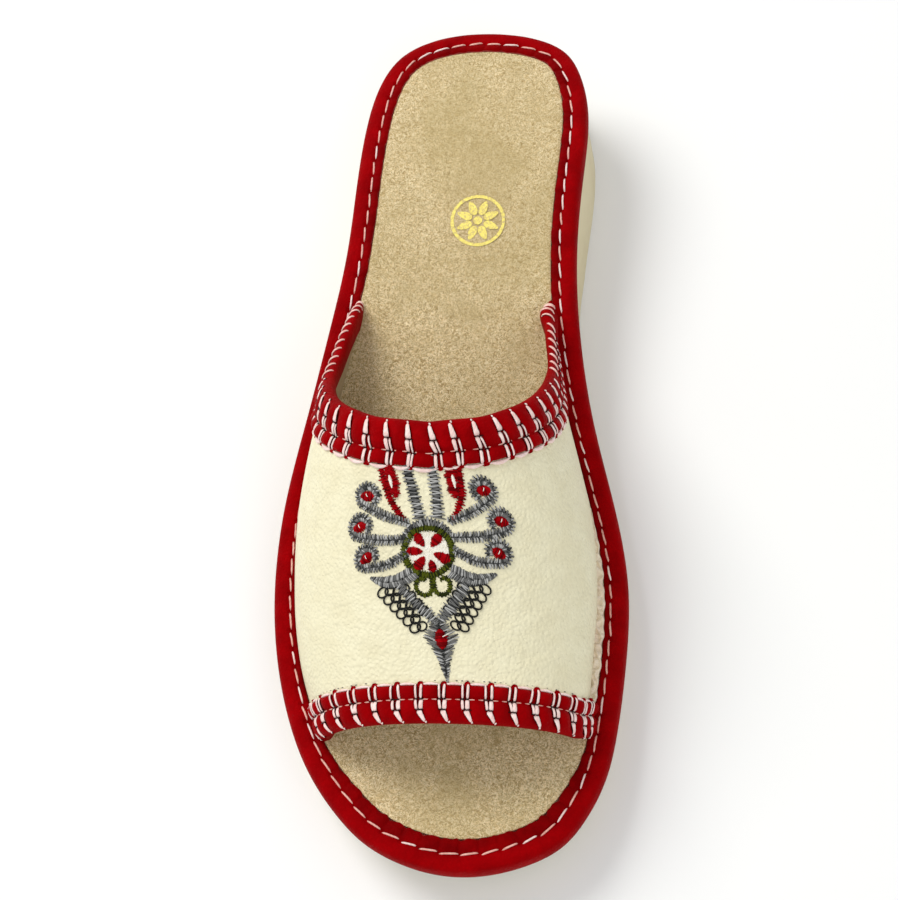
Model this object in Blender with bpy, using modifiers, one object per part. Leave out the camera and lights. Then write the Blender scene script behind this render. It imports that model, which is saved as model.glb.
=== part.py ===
# Open-toe house slipper for the right foot: a foam wedge, a suede footbed slab, a leather rand
# round it, and a leather vamp whose collar and toe edges are bound with a folded strip.
# Toe toward -Y, heel toward +Y, inner side of the foot toward +X, floor at z = 0.

import bpy
import numpy as np

# Driving dimensions, in metres
LENGTH = 0.2554               # platform, toe to heel
BALL_WIDTH = 0.099            # platform at the ball of the foot
FOREFOOT_HEIGHT = 0.0155      # footbed over the floor at the ball
HEEL_HEIGHT = 0.033           # footbed over the floor at the heel
TOE_SPRING = 0.0045           # lift of the toe tip off the floor
INSTEP_HEIGHT = 0.052         # outside of the vamp over the footbed at the instep
VAMP_WALL = 0.002             # leather and lining together
RAND_HEIGHT = 0.0088          # red wall of the platform
RAND_THICKNESS = 0.002        # leather of that wall, with its padding
RAND_UNDERCUT = 0.0016        # how far the foot of that wall curls in
RAND_LIP = 0.0075             # width of the rand seen on top, at the heel
STITCH_INSET = 0.005          # groove of the rand's seam, in from its outline
SOLE_SETBACK = 0.0019         # top edge of the foam, in from the rand's outline
SOLE_FLARE = 0.003            # most that the foot of the foam stands out past the rand
SOLE_ROUND = 0.0012           # rounding of the foam's bottom edge
BINDING_WIDTH = 0.0106        # outer face of the folded strip, without its roll
BINDING_THICKNESS = 0.0012    # one layer of that strip
BINDING_INSIDE = 0.006        # how far the strip reaches back on the lining
SUEDE_ROUND = 0.0004          # rounding of the footbed's edge at the lip
CLEARANCE = 0.0003            # between neighbouring pieces

# Mesh density
RING = 80                     # points round the platform
VAMP_ACROSS = 32              # cells of the vamp, foot to foot
VAMP_ALONG = 22               # cells of the vamp, toe opening to collar
COLLAR_STATIONS = 54          # sections of the collar binding
MOUTH_STATIONS = 32           # sections of the toe binding
BINDING_STEPS = 10            # steps that the binding takes over the vamp's face
PROBE = 0.0008                # distance over which the vamp's slopes are read

# Outline of the platform: share of the length from the toe tip, then the outer
# and the inner side's x as shares of the ball width
OUTLINE = (
    (0.000, 0.065, 0.065),
    (0.010, -0.079, 0.214),
    (0.030, -0.184, 0.318),
    (0.060, -0.269, 0.386),
    (0.110, -0.363, 0.446),
    (0.170, -0.431, 0.477),
    (0.240, -0.477, 0.496),
    (0.320, -0.498, 0.499),
    (0.400, -0.490, 0.466),
    (0.500, -0.445, 0.403),
    (0.600, -0.392, 0.360),
    (0.700, -0.345, 0.345),
    (0.800, -0.322, 0.360),
    (0.880, -0.300, 0.374),
    (0.940, -0.257, 0.347),
    (0.975, -0.188, 0.289),
    (1.000, 0.046, 0.046),
)

# Side profile: share of the length, share of the heel's rise, share of the toe spring
PROFILE = (
    (0.00, 0.000, 1.00),
    (0.06, 0.000, 0.50),
    (0.14, 0.000, 0.10),
    (0.22, 0.000, 0.00),
    (0.34, 0.000, 0.00),
    (0.50, 0.200, 0.00),
    (0.65, 0.570, 0.00),
    (0.80, 0.885, 0.00),
    (0.92, 0.980, 0.00),
    (1.00, 1.000, 0.00),
)

# Foot of the foam: share of the length, then how far the outer and the inner
# side stand past the rand's outline, as shares of the flare
FLARE = (
    (0.00, -1.00, -1.00),
    (0.20, -0.70, -0.60),
    (0.45, -0.40, -0.35),
    (0.62, -0.20, -0.25),
    (0.68, 0.05, 0.15),
    (0.73, 0.25, 0.70),
    (0.81, 0.35, 0.95),
    (0.88, 0.25, 0.62),
    (0.94, 0.15, 0.30),
    (1.00, 0.00, 0.00),
)

# Inner edge of the rand's lip: share of the length, share of the lip's width at the heel
LIP = (
    (0.00, 1.22),
    (0.05, 1.17),
    (0.13, 0.97),
    (0.22, 0.88),
    (0.46, 0.90),
    (0.60, 0.99),
    (1.00, 1.00),
)

# Rand from its lip over the top and down the wall. Place across: 0 at the outline,
# 1 at the seam's groove, 2 at the lip's edge. Height as a share of the wall's.
RAND_FACE = (
    (2.00, 0.02),
    (1.60, 0.10),
    (1.00, 0.04),
    (0.70, 0.10),
    (0.40, 0.03),
    (0.14, -0.14),
    (0.00, -0.36),
    (0.04, -0.62),
    (0.18, -0.89),
)

# Height of the vamp's crown: share of the length, share of the instep height
CROWN = (
    (0.12, 0.46),
    (0.24, 0.66),
    (0.34, 0.86),
    (0.42, 1.00),
    (0.52, 1.06),
    (0.66, 1.06),
)

# Fullness of the vamp's arch on its outer and its inner side, as the power of a
# superellipse: 2 is an ellipse, and under 2 the side leans over the footbed
FULLNESS = (
    (0.12, 2.20, 2.20),
    (0.46, 2.20, 2.20),
    (0.56, 1.95, 1.85),
    (0.62, 1.60, 1.35),
    (0.66, 1.40, 1.10),
)

# Collar edge: share of the quarter turn from foot to crown, share of the length from mid-length
COLLAR = (
    (0.00, 0.1440),
    (0.10, 0.1200),
    (0.16, 0.0860),
    (0.20, 0.0500),
    (0.24, 0.0270),
    (0.30, 0.0040),
    (0.38, -0.0180),
    (0.50, -0.0440),
    (0.66, -0.0690),
    (0.82, -0.0860),
    (1.00, -0.0935),
)

# Toe opening: share of the half turn from outer to inner foot, share of the length
MOUTH = (
    (0.00, -0.3590),
    (0.12, -0.3640),
    (0.50, -0.3665),
    (0.88, -0.3620),
    (1.00, -0.3510),
)

# Face of the folded strip from its far edge to the roll: share of the width,
# share of the thickness. The dip is the groove of its seam.
BINDING_FACE = (
    (1.00, 0.00),
    (0.98, 0.60),
    (0.82, 1.05),
    (0.69, 0.90),
    (0.63, 0.45),
    (0.57, 0.95),
    (0.36, 1.15),
    (0.12, 1.10),
)


def curve(table, column, place):
    """Smooth value of a table's column, with no overshoot between its rows."""
    rows = np.array(table)
    at = rows[:, 0]
    value = rows[:, column]
    place = np.clip(np.asarray(place, float), at[0], at[-1])
    gap = np.diff(at)
    rise = np.diff(value) / gap
    slope = np.zeros(len(at))
    for k in range(1, len(at) - 1):
        if rise[k - 1] * rise[k] > 0:
            before = gap[k - 1] + 2 * gap[k]
            after = 2 * gap[k - 1] + gap[k]
            slope[k] = (before + after) / (before / rise[k - 1] + after / rise[k])
    slope[0] = rise[0]
    slope[-1] = rise[-1]
    k = np.clip(np.searchsorted(at, place, side="right") - 1, 0, len(at) - 2)
    s = (place - at[k]) / gap[k]
    start = (1 + 2 * s) * (1 - s) ** 2 * value[k] + s * (1 - s) ** 2 * gap[k] * slope[k]
    end = s * s * (3 - 2 * s) * value[k + 1] + s * s * (s - 1) * gap[k] * slope[k + 1]
    return start + end


def closed_curve(at, value, place, period):
    """Cubic through the points of a closed line, smooth all the way round."""
    count = len(at)
    gap = np.diff(np.append(at, at[0] + period))
    rise = np.diff(np.append(value, value[0])) / gap
    system = np.zeros((count, count))
    target = np.zeros(count)
    for k in range(count):
        system[k, k] = 2 * (gap[k - 1] + gap[k])
        system[k, k - 1] += gap[k]
        system[k, (k + 1) % count] += gap[k - 1]
        target[k] = 3 * (gap[k] * rise[k - 1] + gap[k - 1] * rise[k])
    slope = np.linalg.solve(system, target)
    place = np.asarray(place, float) % period
    k = np.clip(np.searchsorted(at, place, side="right") - 1, 0, count - 1)
    after = (k + 1) % count
    s = (place - at[k]) / gap[k]
    start = (1 + 2 * s) * (1 - s) ** 2 * value[k] + s * (1 - s) ** 2 * gap[k] * slope[k]
    end = s * s * (3 - 2 * s) * value[after] + s * s * (s - 1) * gap[k] * slope[after]
    return start + end


def share_of(y):
    """Share of the length from the toe tip."""
    return np.clip(y / LENGTH + 0.5, 0, 1)


def outline(turn):
    """Widest line of the platform. Turn 0 is the toe tip, then up the outer side to the heel."""
    rows = np.array(OUTLINE)
    at = np.arccos(1 - 2 * rows[:, 0])
    at = np.concatenate([at, 2 * np.pi - at[-2:0:-1]])
    value = np.concatenate([rows[:, 1], rows[-2:0:-1, 2]])
    x = closed_curve(at, value, turn, 2 * np.pi) * BALL_WIDTH
    y = -np.cos(turn) * LENGTH / 2
    return np.stack([x, y], axis=-1)


def inset_line(turn, inset):
    """The outline moved inward by an inset, which may differ along it."""
    step = 0.01
    ahead = outline(turn + step) - outline(turn - step)
    ahead /= np.linalg.norm(ahead, axis=-1, keepdims=True)
    inward = np.stack([ahead[:, 1], -ahead[:, 0]], axis=-1)
    return outline(turn) + inward * np.broadcast_to(inset, turn.shape)[:, None]


def top(y):
    """Height of the footbed over the floor."""
    rise = (HEEL_HEIGHT - FOREFOOT_HEIGHT) * curve(PROFILE, 1, share_of(y))
    return FOREFOOT_HEIGHT + rise + bottom(y)


def bottom(y):
    """Height of the sole's underside over the floor."""
    return TOE_SPRING * curve(PROFILE, 2, share_of(y))


RING_TURN = np.arange(RING) * 2 * np.pi / RING
FINE_TURN = np.linspace(0, 2 * np.pi, 721)


def lip_inset(turn):
    return RAND_LIP * curve(LIP, 1, (1 - np.cos(turn)) / 2)


FOOT_LINE = inset_line(FINE_TURN, lip_inset(FINE_TURN) + CLEARANCE)


def foot_lines(y):
    """x of the vamp's outer and inner foot, just inside the lip of the rand."""
    half = len(FINE_TURN) // 2
    outer = np.interp(y, FOOT_LINE[:half + 1, 1], FOOT_LINE[:half + 1, 0])
    inner = np.interp(y, FOOT_LINE[:half - 1:-1, 1], FOOT_LINE[:half - 1:-1, 0])
    return outer, inner


def vamp(turn, y):
    """Outer face of the vamp. Turn 0 is its outer foot, pi its inner foot."""
    outer, inner = foot_lines(y)
    full = np.where(turn < np.pi / 2, curve(FULLNESS, 1, share_of(y)), curve(FULLNESS, 2, share_of(y)))
    power = 2 / full
    crown = INSTEP_HEIGHT * curve(CROWN, 1, share_of(y))
    across = np.sign(np.cos(turn)) * np.abs(np.cos(turn)) ** power
    x = (outer + inner) / 2 - (inner - outer) / 2 * across
    z = top(y) + crown * np.abs(np.sin(turn)) ** power
    return np.stack(np.broadcast_arrays(x, y, z), axis=-1)


def collar_y(turn):
    return LENGTH * curve(COLLAR, 1, 1 - np.abs(turn / (np.pi / 2) - 1))


def mouth_y(turn):
    return LENGTH * curve(MOUTH, 1, turn / np.pi)


def add_object(name, points, faces, finish):
    """Mesh object with its normals facing out and smooth shading up to sharp folds."""
    mesh = bpy.data.meshes.new(name)
    mesh.from_pydata([tuple(p) for p in points.tolist()], [], faces)
    mesh.shade_smooth()
    mesh.set_sharp_from_angle(angle=np.radians(40))
    item = bpy.data.objects.new(name, mesh)
    if finish:
        mesh.materials.append(leather(name, *finish))
        shoe.objects.link(item)
    else:
        item.hide_render = True
        item.display_type = "WIRE"
        cutters.objects.link(item)
    return item


def leather(name, colour, roughness):
    """Plain finish of one piece."""
    material = bpy.data.materials.new(name)
    material.use_nodes = True
    shader = material.node_tree.nodes["Principled BSDF"]
    shader.inputs["Base Color"].default_value = (*colour, 1)
    shader.inputs["Roughness"].default_value = roughness
    shader.inputs["Metallic"].default_value = 0
    return material


def skin_faces(rings, count, joined):
    """Quads between rings of points; joined ties the last ring to the first."""
    faces = []
    for k in range(rings if joined else rings - 1):
        near = k * count
        far = (k + 1) % rings * count
        for i in range(count):
            j = (i + 1) % count
            faces.append((near + i, near + j, far + j, far + i))
    return faces


def cap_faces(start, flip):
    """Strips across a platform ring, from its outer to its inner side."""
    faces = [(start, start + RING - 1, start + 1)]
    for i in range(1, RING // 2 - 1):
        faces.append((start + i, start + RING - i, start + RING - i - 1, start + i + 1))
    middle = start + RING // 2
    faces.append((middle - 1, middle + 1, middle))
    if flip:
        faces = [face[::-1] for face in faces]
    return faces


def ring(inset, height):
    """Points round the platform at an inset and a height function of y."""
    flat = inset_line(RING_TURN, inset)
    return np.column_stack([flat, height(flat[:, 1])])


def outsole():
    """Foam wedge: flat from heel to ball, sprung at the toe, flared at its foot."""
    station = (1 - np.cos(RING_TURN)) / 2
    outer = curve(FLARE, 1, station)
    inner = curve(FLARE, 2, station)
    share = np.where(RING_TURN <= np.pi, outer, inner)
    foot = -SOLE_FLARE * share
    upper_edge = -RAND_HEIGHT - CLEARANCE
    rings = [
        ring(foot + SOLE_ROUND, bottom),
        ring(foot + SOLE_ROUND * 0.3, lambda y: bottom(y) + SOLE_ROUND * 0.3),
        ring(foot, lambda y: bottom(y) + SOLE_ROUND),
        ring(foot * 0.5 + SOLE_SETBACK * 0.5, lambda y: (bottom(y) + top(y) + upper_edge) / 2),
        ring(SOLE_SETBACK, lambda y: top(y) + upper_edge),
    ]
    faces = skin_faces(len(rings), RING, False)
    faces = [face[::-1] for face in faces]
    faces += cap_faces(0, True)
    faces += cap_faces((len(rings) - 1) * RING, False)
    add_object("outsole", np.vstack(rings), faces, ((0.86, 0.74, 0.50), 0.6))


def rand():
    """Leather ring: a lip on the footbed, a stitched groove, a rounded edge and a wall."""
    lip = lip_inset(RING_TURN)
    rings = []
    for across, height in RAND_FACE:
        inset = STITCH_INSET * min(across, 1) + (lip - STITCH_INSET) * max(across - 1, 0)
        rings.append(ring(inset, lambda y, h=height: top(y) + h * RAND_HEIGHT))
    wall = RAND_UNDERCUT + RAND_THICKNESS
    shoulder = RAND_THICKNESS * 0.8
    rings.append(ring(RAND_UNDERCUT, lambda y: top(y) - RAND_HEIGHT))
    rings.append(ring(wall, lambda y: top(y) - RAND_HEIGHT))
    rings.append(ring(wall - RAND_UNDERCUT * 0.25, lambda y: top(y) - shoulder))
    rings.append(ring(lip, lambda y: top(y) - RAND_THICKNESS * 0.5))
    faces = skin_faces(len(rings), RING, True)
    add_object("rand", np.vstack(rings), faces, ((0.42, 0.012, 0.022), 0.38))


def insole():
    """Slab inside the rand, stepped under its lip, with the suede footbed on top."""
    side = RAND_UNDERCUT + RAND_THICKNESS + CLEARANCE
    edge = lip_inset(RING_TURN) + CLEARANCE
    step = RAND_THICKNESS * 0.5 + CLEARANCE
    rings = [
        ring(side, lambda y: top(y) - RAND_HEIGHT),
        ring(side, lambda y: top(y) - RAND_THICKNESS * 0.8 - CLEARANCE * 1.2),
        ring(edge, lambda y: top(y) - step),
        ring(edge, lambda y: top(y) - SUEDE_ROUND),
        ring(edge + SUEDE_ROUND, top),
    ]
    faces = skin_faces(len(rings), RING, False)
    faces = [face[::-1] for face in faces]
    faces += cap_faces(0, True)
    faces += cap_faces((len(rings) - 1) * RING, False)
    add_object("insole", np.vstack(rings), faces, ((0.56, 0.42, 0.25), 0.95))


def platform_cutter(name, rise):
    """Everything under the footbed's height plus a rise, to trim what stands on it."""
    stations = np.linspace(-0.6, 0.6, 61) * LENGTH
    rings = []
    for y in stations:
        level = float(top(y)) + rise
        rings.append([(-BALL_WIDTH, y, -LENGTH), (-BALL_WIDTH, y, level),
                      (BALL_WIDTH, y, level), (BALL_WIDTH, y, -LENGTH)])
    faces = skin_faces(len(rings), 4, False)
    last = (len(rings) - 1) * 4
    faces += [(3, 2, 1, 0), (last, last + 1, last + 2, last + 3)]
    return add_object(name, np.vstack(rings), faces, None)


def cut(item, cutter):
    modifier = item.modifiers.new("trim", "BOOLEAN")
    modifier.operation = "DIFFERENCE"
    modifier.solver = "EXACT"
    modifier.object = cutter


def upper():
    """Vamp: one arched wall, open at the toe, at the collar and underneath."""
    even = np.linspace(0, 1, VAMP_ACROSS + 1)
    turn = np.pi * (even - 0.45 * np.sin(2 * np.pi * even) / (2 * np.pi))
    along = np.linspace(0, 1, VAMP_ALONG + 1)
    grid = []
    for angle in turn:
        y = mouth_y(angle) * (1 - along) + collar_y(angle) * along
        grid.append(vamp(angle, y))
    sunk = np.array([0, 0, -2 * VAMP_WALL])
    grid = [grid[0] + sunk] + grid + [grid[-1] + sunk]
    columns = VAMP_ALONG + 1
    faces = []
    for i in range(len(grid) - 1):
        for j in range(VAMP_ALONG):
            a = i * columns + j
            faces.append((a, a + columns, a + columns + 1, a + 1))
    item = add_object("upper", np.vstack(grid), faces, ((0.90, 0.87, 0.74), 0.45))
    wall = item.modifiers.new("wall", "SOLIDIFY")
    wall.thickness = VAMP_WALL
    wall.offset = -1
    cut(item, platform_cutter("footbed_trim", CLEARANCE))


def section_run(y):
    """Points of the vamp's section at one y, with the distance along it from the outer foot."""
    turn = np.linspace(0, np.pi, 181)
    points = vamp(turn, np.full(turn.shape, y))
    along = np.append(0, np.cumsum(np.linalg.norm(np.diff(points, axis=0), axis=1)))
    return turn, points, along


def skin_point(run, y):
    """Point of the vamp's face at a distance from its outer foot; it goes on straight past a foot."""
    _, points, along = section_run(y)
    k = int(np.clip(np.searchsorted(along, run) - 1, 0, len(along) - 2))
    s = (run - along[k]) / (along[k + 1] - along[k])
    return points[k] * (1 - s) + points[k + 1] * s


def skin_frame(run, y):
    """Directions round the section, along the shoe and straight out of the vamp."""
    round_it = (skin_point(run + PROBE, y) - skin_point(run - PROBE, y)) / (2 * PROBE)
    along_it = (skin_point(run, y + PROBE) - skin_point(run, y - PROBE)) / (2 * PROBE)
    out = np.cross(round_it, along_it)
    return round_it, along_it, out / np.linalg.norm(out)


def edge_stations(edge_y, count):
    """Evenly spaced places on an edge of the vamp, as turns."""
    turn = np.linspace(0, np.pi, 401)
    points = np.array([vamp(angle, edge_y(angle)) for angle in turn])
    along = np.append(0, np.cumsum(np.linalg.norm(np.diff(points, axis=0), axis=1)))
    return np.interp(np.linspace(0, along[-1], count), along, turn)


def binding_section():
    """The folded strip's outline, as distances back from the edge and out of the vamp's face."""
    outside = [(BINDING_WIDTH * w, CLEARANCE + BINDING_THICKNESS * t) for w, t in BINDING_FACE]
    roll = CLEARANCE + BINDING_THICKNESS
    half = VAMP_WALL / 2 + roll
    bend = []
    for angle in np.radians((15, 55, 90, 125, 165)):
        bend.append((-roll * np.sin(angle), half * np.cos(angle) - VAMP_WALL / 2))
    lining = -VAMP_WALL - CLEARANCE
    fold = -CLEARANCE * 1.5
    inside = [
        (BINDING_INSIDE * 0.4, lining - BINDING_THICKNESS),
        (BINDING_INSIDE, lining - BINDING_THICKNESS * 0.8),
        (BINDING_INSIDE, lining),
        (fold, lining),
        (fold, CLEARANCE),
    ]
    under = [(BINDING_WIDTH * share, CLEARANCE) for share in (0.25, 0.5, 0.75)]
    return outside + bend + inside + under


def path_from_edge(run, y, ahead, heelward):
    """Points and outward directions of the straightest line over the vamp, square to its edge."""
    away = None
    spots = []
    outs = []
    for _ in range(BINDING_STEPS + 1):
        round_it, along_it, out = skin_frame(run, y)
        if away is None:
            away = np.cross(out, ahead)
            away *= np.sign(away[1]) * heelward
        away = away - out * away.dot(out)
        away = away / np.linalg.norm(away)
        spots.append(skin_point(run, y))
        outs.append(out)
        slopes = np.stack([round_it, along_it], axis=1)
        move = np.linalg.lstsq(slopes, away * BINDING_WIDTH / BINDING_STEPS, rcond=None)[0]
        run += move[0]
        y += move[1]
    return np.array(spots), np.array(outs)


def along_path(reach, values, back):
    return np.array([np.interp(back, reach, values[:, axis]) for axis in range(3)])


def binding(name, edge_y, count, heelward, trim):
    """Strip folded over an edge of the vamp, following the vamp's own face."""
    turns = edge_stations(edge_y, count)
    edge = np.array([vamp(angle, edge_y(angle)) for angle in turns])
    reach = np.linspace(0, BINDING_WIDTH, BINDING_STEPS + 1)
    section = binding_section()
    sections = []
    for k, angle in enumerate(turns):
        y = float(edge_y(angle))
        table_turn, _, along = section_run(y)
        run = float(np.interp(angle, table_turn, along))
        ahead = edge[min(k + 1, count - 1)] - edge[max(k - 1, 0)]
        spots, outs = path_from_edge(run, y, ahead, heelward)
        back_way = (spots[1] - spots[0]) / np.linalg.norm(spots[1] - spots[0])
        points = []
        for back, proud in section:
            spot = along_path(reach, spots, back) + back_way * min(back, 0)
            points.append(spot + along_path(reach, outs, back) * proud)
        sections.append(np.array(points))
    first = edge[0] - edge[1]
    last = edge[-1] - edge[-2]
    sunk = BINDING_WIDTH * 0.6
    sections.insert(0, sections[0] + first / np.linalg.norm(first) * sunk)
    sections.append(sections[-1] + last / np.linalg.norm(last) * sunk)
    size = len(section)
    end = (len(sections) - 1) * size
    faces = skin_faces(len(sections), size, False)
    faces.append(tuple(range(size))[::-1])
    faces.append(tuple(range(end, end + size)))
    if heelward < 0:
        faces = [face[::-1] for face in faces]
    item = add_object(name, np.vstack(sections), faces, ((0.45, 0.012, 0.022), 0.38))
    cut(item, trim)


for old in list(bpy.data.objects):
    bpy.data.objects.remove(old)
shoe = bpy.data.collections.new("slipper")
cutters = bpy.data.collections.new("cutters")
bpy.context.scene.collection.children.link(shoe)
bpy.context.scene.collection.children.link(cutters)

outsole()
rand()
insole()
upper()
lip_rise = RAND_HEIGHT * max(height for _, height in RAND_FACE)
lip_trim = platform_cutter("lip_trim", lip_rise + CLEARANCE)
binding("collar_binding", collar_y, COLLAR_STATIONS, -1, lip_trim)
binding("toe_binding", mouth_y, MOUTH_STATIONS, 1, lip_trim)
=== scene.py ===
import bmesh
import bpy
import numpy as np
from mathutils import Matrix, Vector


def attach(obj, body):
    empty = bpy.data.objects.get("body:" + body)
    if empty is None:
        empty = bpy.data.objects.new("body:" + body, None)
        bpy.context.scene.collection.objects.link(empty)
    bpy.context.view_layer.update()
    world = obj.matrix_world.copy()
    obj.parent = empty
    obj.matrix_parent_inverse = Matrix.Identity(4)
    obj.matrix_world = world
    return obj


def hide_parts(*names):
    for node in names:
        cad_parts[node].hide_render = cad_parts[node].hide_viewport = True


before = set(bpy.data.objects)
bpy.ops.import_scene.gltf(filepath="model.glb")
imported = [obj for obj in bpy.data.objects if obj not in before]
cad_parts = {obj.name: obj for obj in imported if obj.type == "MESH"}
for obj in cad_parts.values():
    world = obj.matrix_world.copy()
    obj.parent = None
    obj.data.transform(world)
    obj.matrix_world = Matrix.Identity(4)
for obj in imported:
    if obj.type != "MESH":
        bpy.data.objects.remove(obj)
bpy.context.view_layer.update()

MM = 0.001

# Sizes of the part, in metres
LENGTH = 0.2554
BALL_WIDTH = 0.099
FOREFOOT_HEIGHT = 0.0155
HEEL_HEIGHT = 0.033
TOE_SPRING = 0.0045
INSTEP_HEIGHT = 0.052
VAMP_WALL = 0.002
RAND_HEIGHT = 0.0088
RAND_THICKNESS = 0.002
RAND_UNDERCUT = 0.0016
RAND_LIP = 0.0075
STITCH_INSET = 0.005
SOLE_SETBACK = 0.0019
SOLE_FLARE = 0.003
SOLE_ROUND = 0.0012
BINDING_REACH = 0.016
CLEARANCE = 0.0003
TUCK = 0.0008                 # how deep the vamp and bindings reach between lip and footbed
PARTING_DEPTH = 0.0004        # moulded line round the wedge
RIB_PITCH = 0.0064
RIB_DEPTH = 0.0009
RIB_MARGIN = 0.004            # plain edge of the wedge's underside
RIB_REACH = 0.122             # how far from the middle the ribs reach along y

# Tables of the part: see the column names
OUTLINE = (                   # share of length, outer x, inner x
    (0.000, 0.065, 0.065), (0.010, -0.079, 0.214), (0.030, -0.184, 0.318), (0.060, -0.269, 0.386),
    (0.110, -0.363, 0.446), (0.170, -0.431, 0.477), (0.240, -0.477, 0.496), (0.320, -0.498, 0.499),
    (0.400, -0.490, 0.466), (0.500, -0.445, 0.403), (0.600, -0.392, 0.360), (0.700, -0.345, 0.345),
    (0.800, -0.322, 0.360), (0.880, -0.300, 0.374), (0.940, -0.257, 0.347), (0.975, -0.188, 0.289),
    (1.000, 0.046, 0.046))
PROFILE = (                   # share of length, share of heel rise, share of toe spring
    (0.00, 0.000, 1.00), (0.06, 0.000, 0.50), (0.14, 0.000, 0.10), (0.22, 0.000, 0.00),
    (0.34, 0.000, 0.00), (0.50, 0.200, 0.00), (0.65, 0.570, 0.00), (0.80, 0.885, 0.00),
    (0.92, 0.980, 0.00), (1.00, 1.000, 0.00))
FLARE = (                     # share of length, outer flare, inner flare
    (0.00, -1.00, -1.00), (0.20, -0.70, -0.60), (0.45, -0.40, -0.35), (0.62, -0.20, -0.25),
    (0.68, 0.05, 0.05), (0.73, 0.25, 0.40), (0.81, 0.35, 0.56), (0.88, 0.25, 0.40),
    (0.94, 0.15, 0.22), (1.00, 0.00, 0.00))
LIP = (                       # share of length, share of the lip's width
    (0.00, 1.22), (0.05, 1.17), (0.13, 0.97), (0.22, 0.88), (0.46, 0.90), (0.60, 0.99),
    (1.00, 1.00))
RAND_FACE = (                 # place across, share of the rand's height
    (2.00, -0.06), (1.98, 0.03), (1.60, 0.07), (1.00, 0.05), (0.70, 0.06), (0.40, 0.045),
    (0.15, -0.04), (0.03, -0.20), (0.00, -0.42), (0.07, -0.70), (0.18, -0.89), (0.32, -1.00))
CROWN = (                     # share of length, share of instep height
    (0.12, 0.46), (0.24, 0.66), (0.34, 0.86), (0.42, 1.00), (0.52, 1.06), (0.66, 1.06))
FULLNESS = (                  # share of length, outer side, inner side
    (0.12, 2.20, 2.20), (0.46, 2.20, 2.20), (0.56, 1.95, 1.85), (0.62, 1.60, 1.35),
    (0.66, 1.40, 1.10))
COLLAR = (                    # share of the quarter turn, share of length
    (0.00, 0.1440), (0.10, 0.1200), (0.16, 0.0860), (0.20, 0.0500), (0.24, 0.0270), (0.30, 0.0040),
    (0.38, -0.0180), (0.50, -0.0440), (0.66, -0.0690), (0.82, -0.0860), (1.00, -0.0935))
MOUTH = (                     # share of the half turn, share of length
    (0.00, -0.3590), (0.12, -0.3640), (0.50, -0.3665), (0.88, -0.3620), (1.00, -0.3510))

rng = np.random.default_rng(38)


# Curves and surfaces of the part

def unit(v):
    return v / np.linalg.norm(v, axis=-1, keepdims=True)


def hump(offset, half):
    """Soft bump, 1 at no offset."""
    return np.exp(-(offset / half) ** 2)


def fade(way, reach):
    """0 before the start of a way, 1 past its reach."""
    return np.clip(way / reach, 0, 1)


def lengths_along(line):
    """Length of a line from its start to each of its points."""
    return np.append(0, np.cumsum(np.linalg.norm(np.diff(line, axis=0), axis=1)))


def hermite(s, gap, value0, value1, slope0, slope1):
    """Cubic over a gap from the values and slopes at its ends; s goes from 0 to 1."""
    start = (1 + 2 * s) * (1 - s) ** 2 * value0 + s * (1 - s) ** 2 * gap * slope0
    return start + (s * s * (3 - 2 * s) * value1 + s * s * (s - 1) * gap * slope1)


def curve(table, column, place):
    """Smooth value of a table's column, with no overshoot between its rows."""
    rows = np.array(table)
    at, value = rows[:, 0], rows[:, column]
    place = np.clip(np.asarray(place, float), at[0], at[-1])
    gap = np.diff(at)
    rise = np.diff(value) / gap
    slope = np.zeros(len(at))
    slope[0], slope[-1] = rise[0], rise[-1]
    for k in range(1, len(at) - 1):
        if rise[k - 1] * rise[k] > 0:
            before, after = gap[k - 1] + 2 * gap[k], 2 * gap[k - 1] + gap[k]
            slope[k] = (before + after) / (before / rise[k - 1] + after / rise[k])
    k = np.clip(np.searchsorted(at, place, side="right") - 1, 0, len(at) - 2)
    return hermite((place - at[k]) / gap[k], gap[k], value[k], value[k + 1], slope[k], slope[k + 1])


def straight(table, place):
    """Value of a table of two columns, straight between its rows."""
    return np.interp(place, *np.transpose(table))


def closed_curve(at, value, place, period):
    """Cubic through the points of a closed line, smooth all the way round."""
    count = len(at)
    gap = np.diff(np.append(at, at[0] + period))
    rise = np.diff(np.append(value, value[0])) / gap
    before = np.roll(gap, 1)
    one = np.eye(count)
    system = (np.diag(2 * (before + gap)) + np.roll(one, -1, axis=1) * gap[:, None]
              + np.roll(one, 1, axis=1) * before[:, None])
    slope = np.linalg.solve(system, 3 * (gap * np.roll(rise, 1) + before * rise))
    place = np.asarray(place, float) % period
    k = np.clip(np.searchsorted(at, place, side="right") - 1, 0, count - 1)
    after = (k + 1) % count
    return hermite((place - at[k]) / gap[k], gap[k], value[k], value[after], slope[k], slope[after])


def share_of(y):
    """Share of the platform's length at y, from the toe."""
    return np.clip(y / LENGTH + 0.5, 0, 1)


def outline(turn):
    """Points of the platform's outline. Turn 0 is its toe, pi its heel, by the outer side."""
    rows = np.array(OUTLINE)
    at = np.arccos(1 - 2 * rows[:, 0])
    at = np.concatenate([at, 2 * np.pi - at[-2:0:-1]])
    value = np.concatenate([rows[:, 1], rows[-2:0:-1, 2]])
    x = closed_curve(at, value, turn, 2 * np.pi) * BALL_WIDTH
    return np.stack([x, -np.cos(turn) * LENGTH / 2], axis=-1)


def inset_line(turn, inset):
    """The outline drawn in by an inset square to it."""
    step = 0.01
    ahead = unit(outline(turn + step) - outline(turn - step))
    inward = np.stack([ahead[:, 1], -ahead[:, 0]], axis=-1)
    return outline(turn) + inward * np.broadcast_to(inset, turn.shape)[:, None]


def bottom(y):
    return TOE_SPRING * curve(PROFILE, 2, share_of(y))


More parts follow.
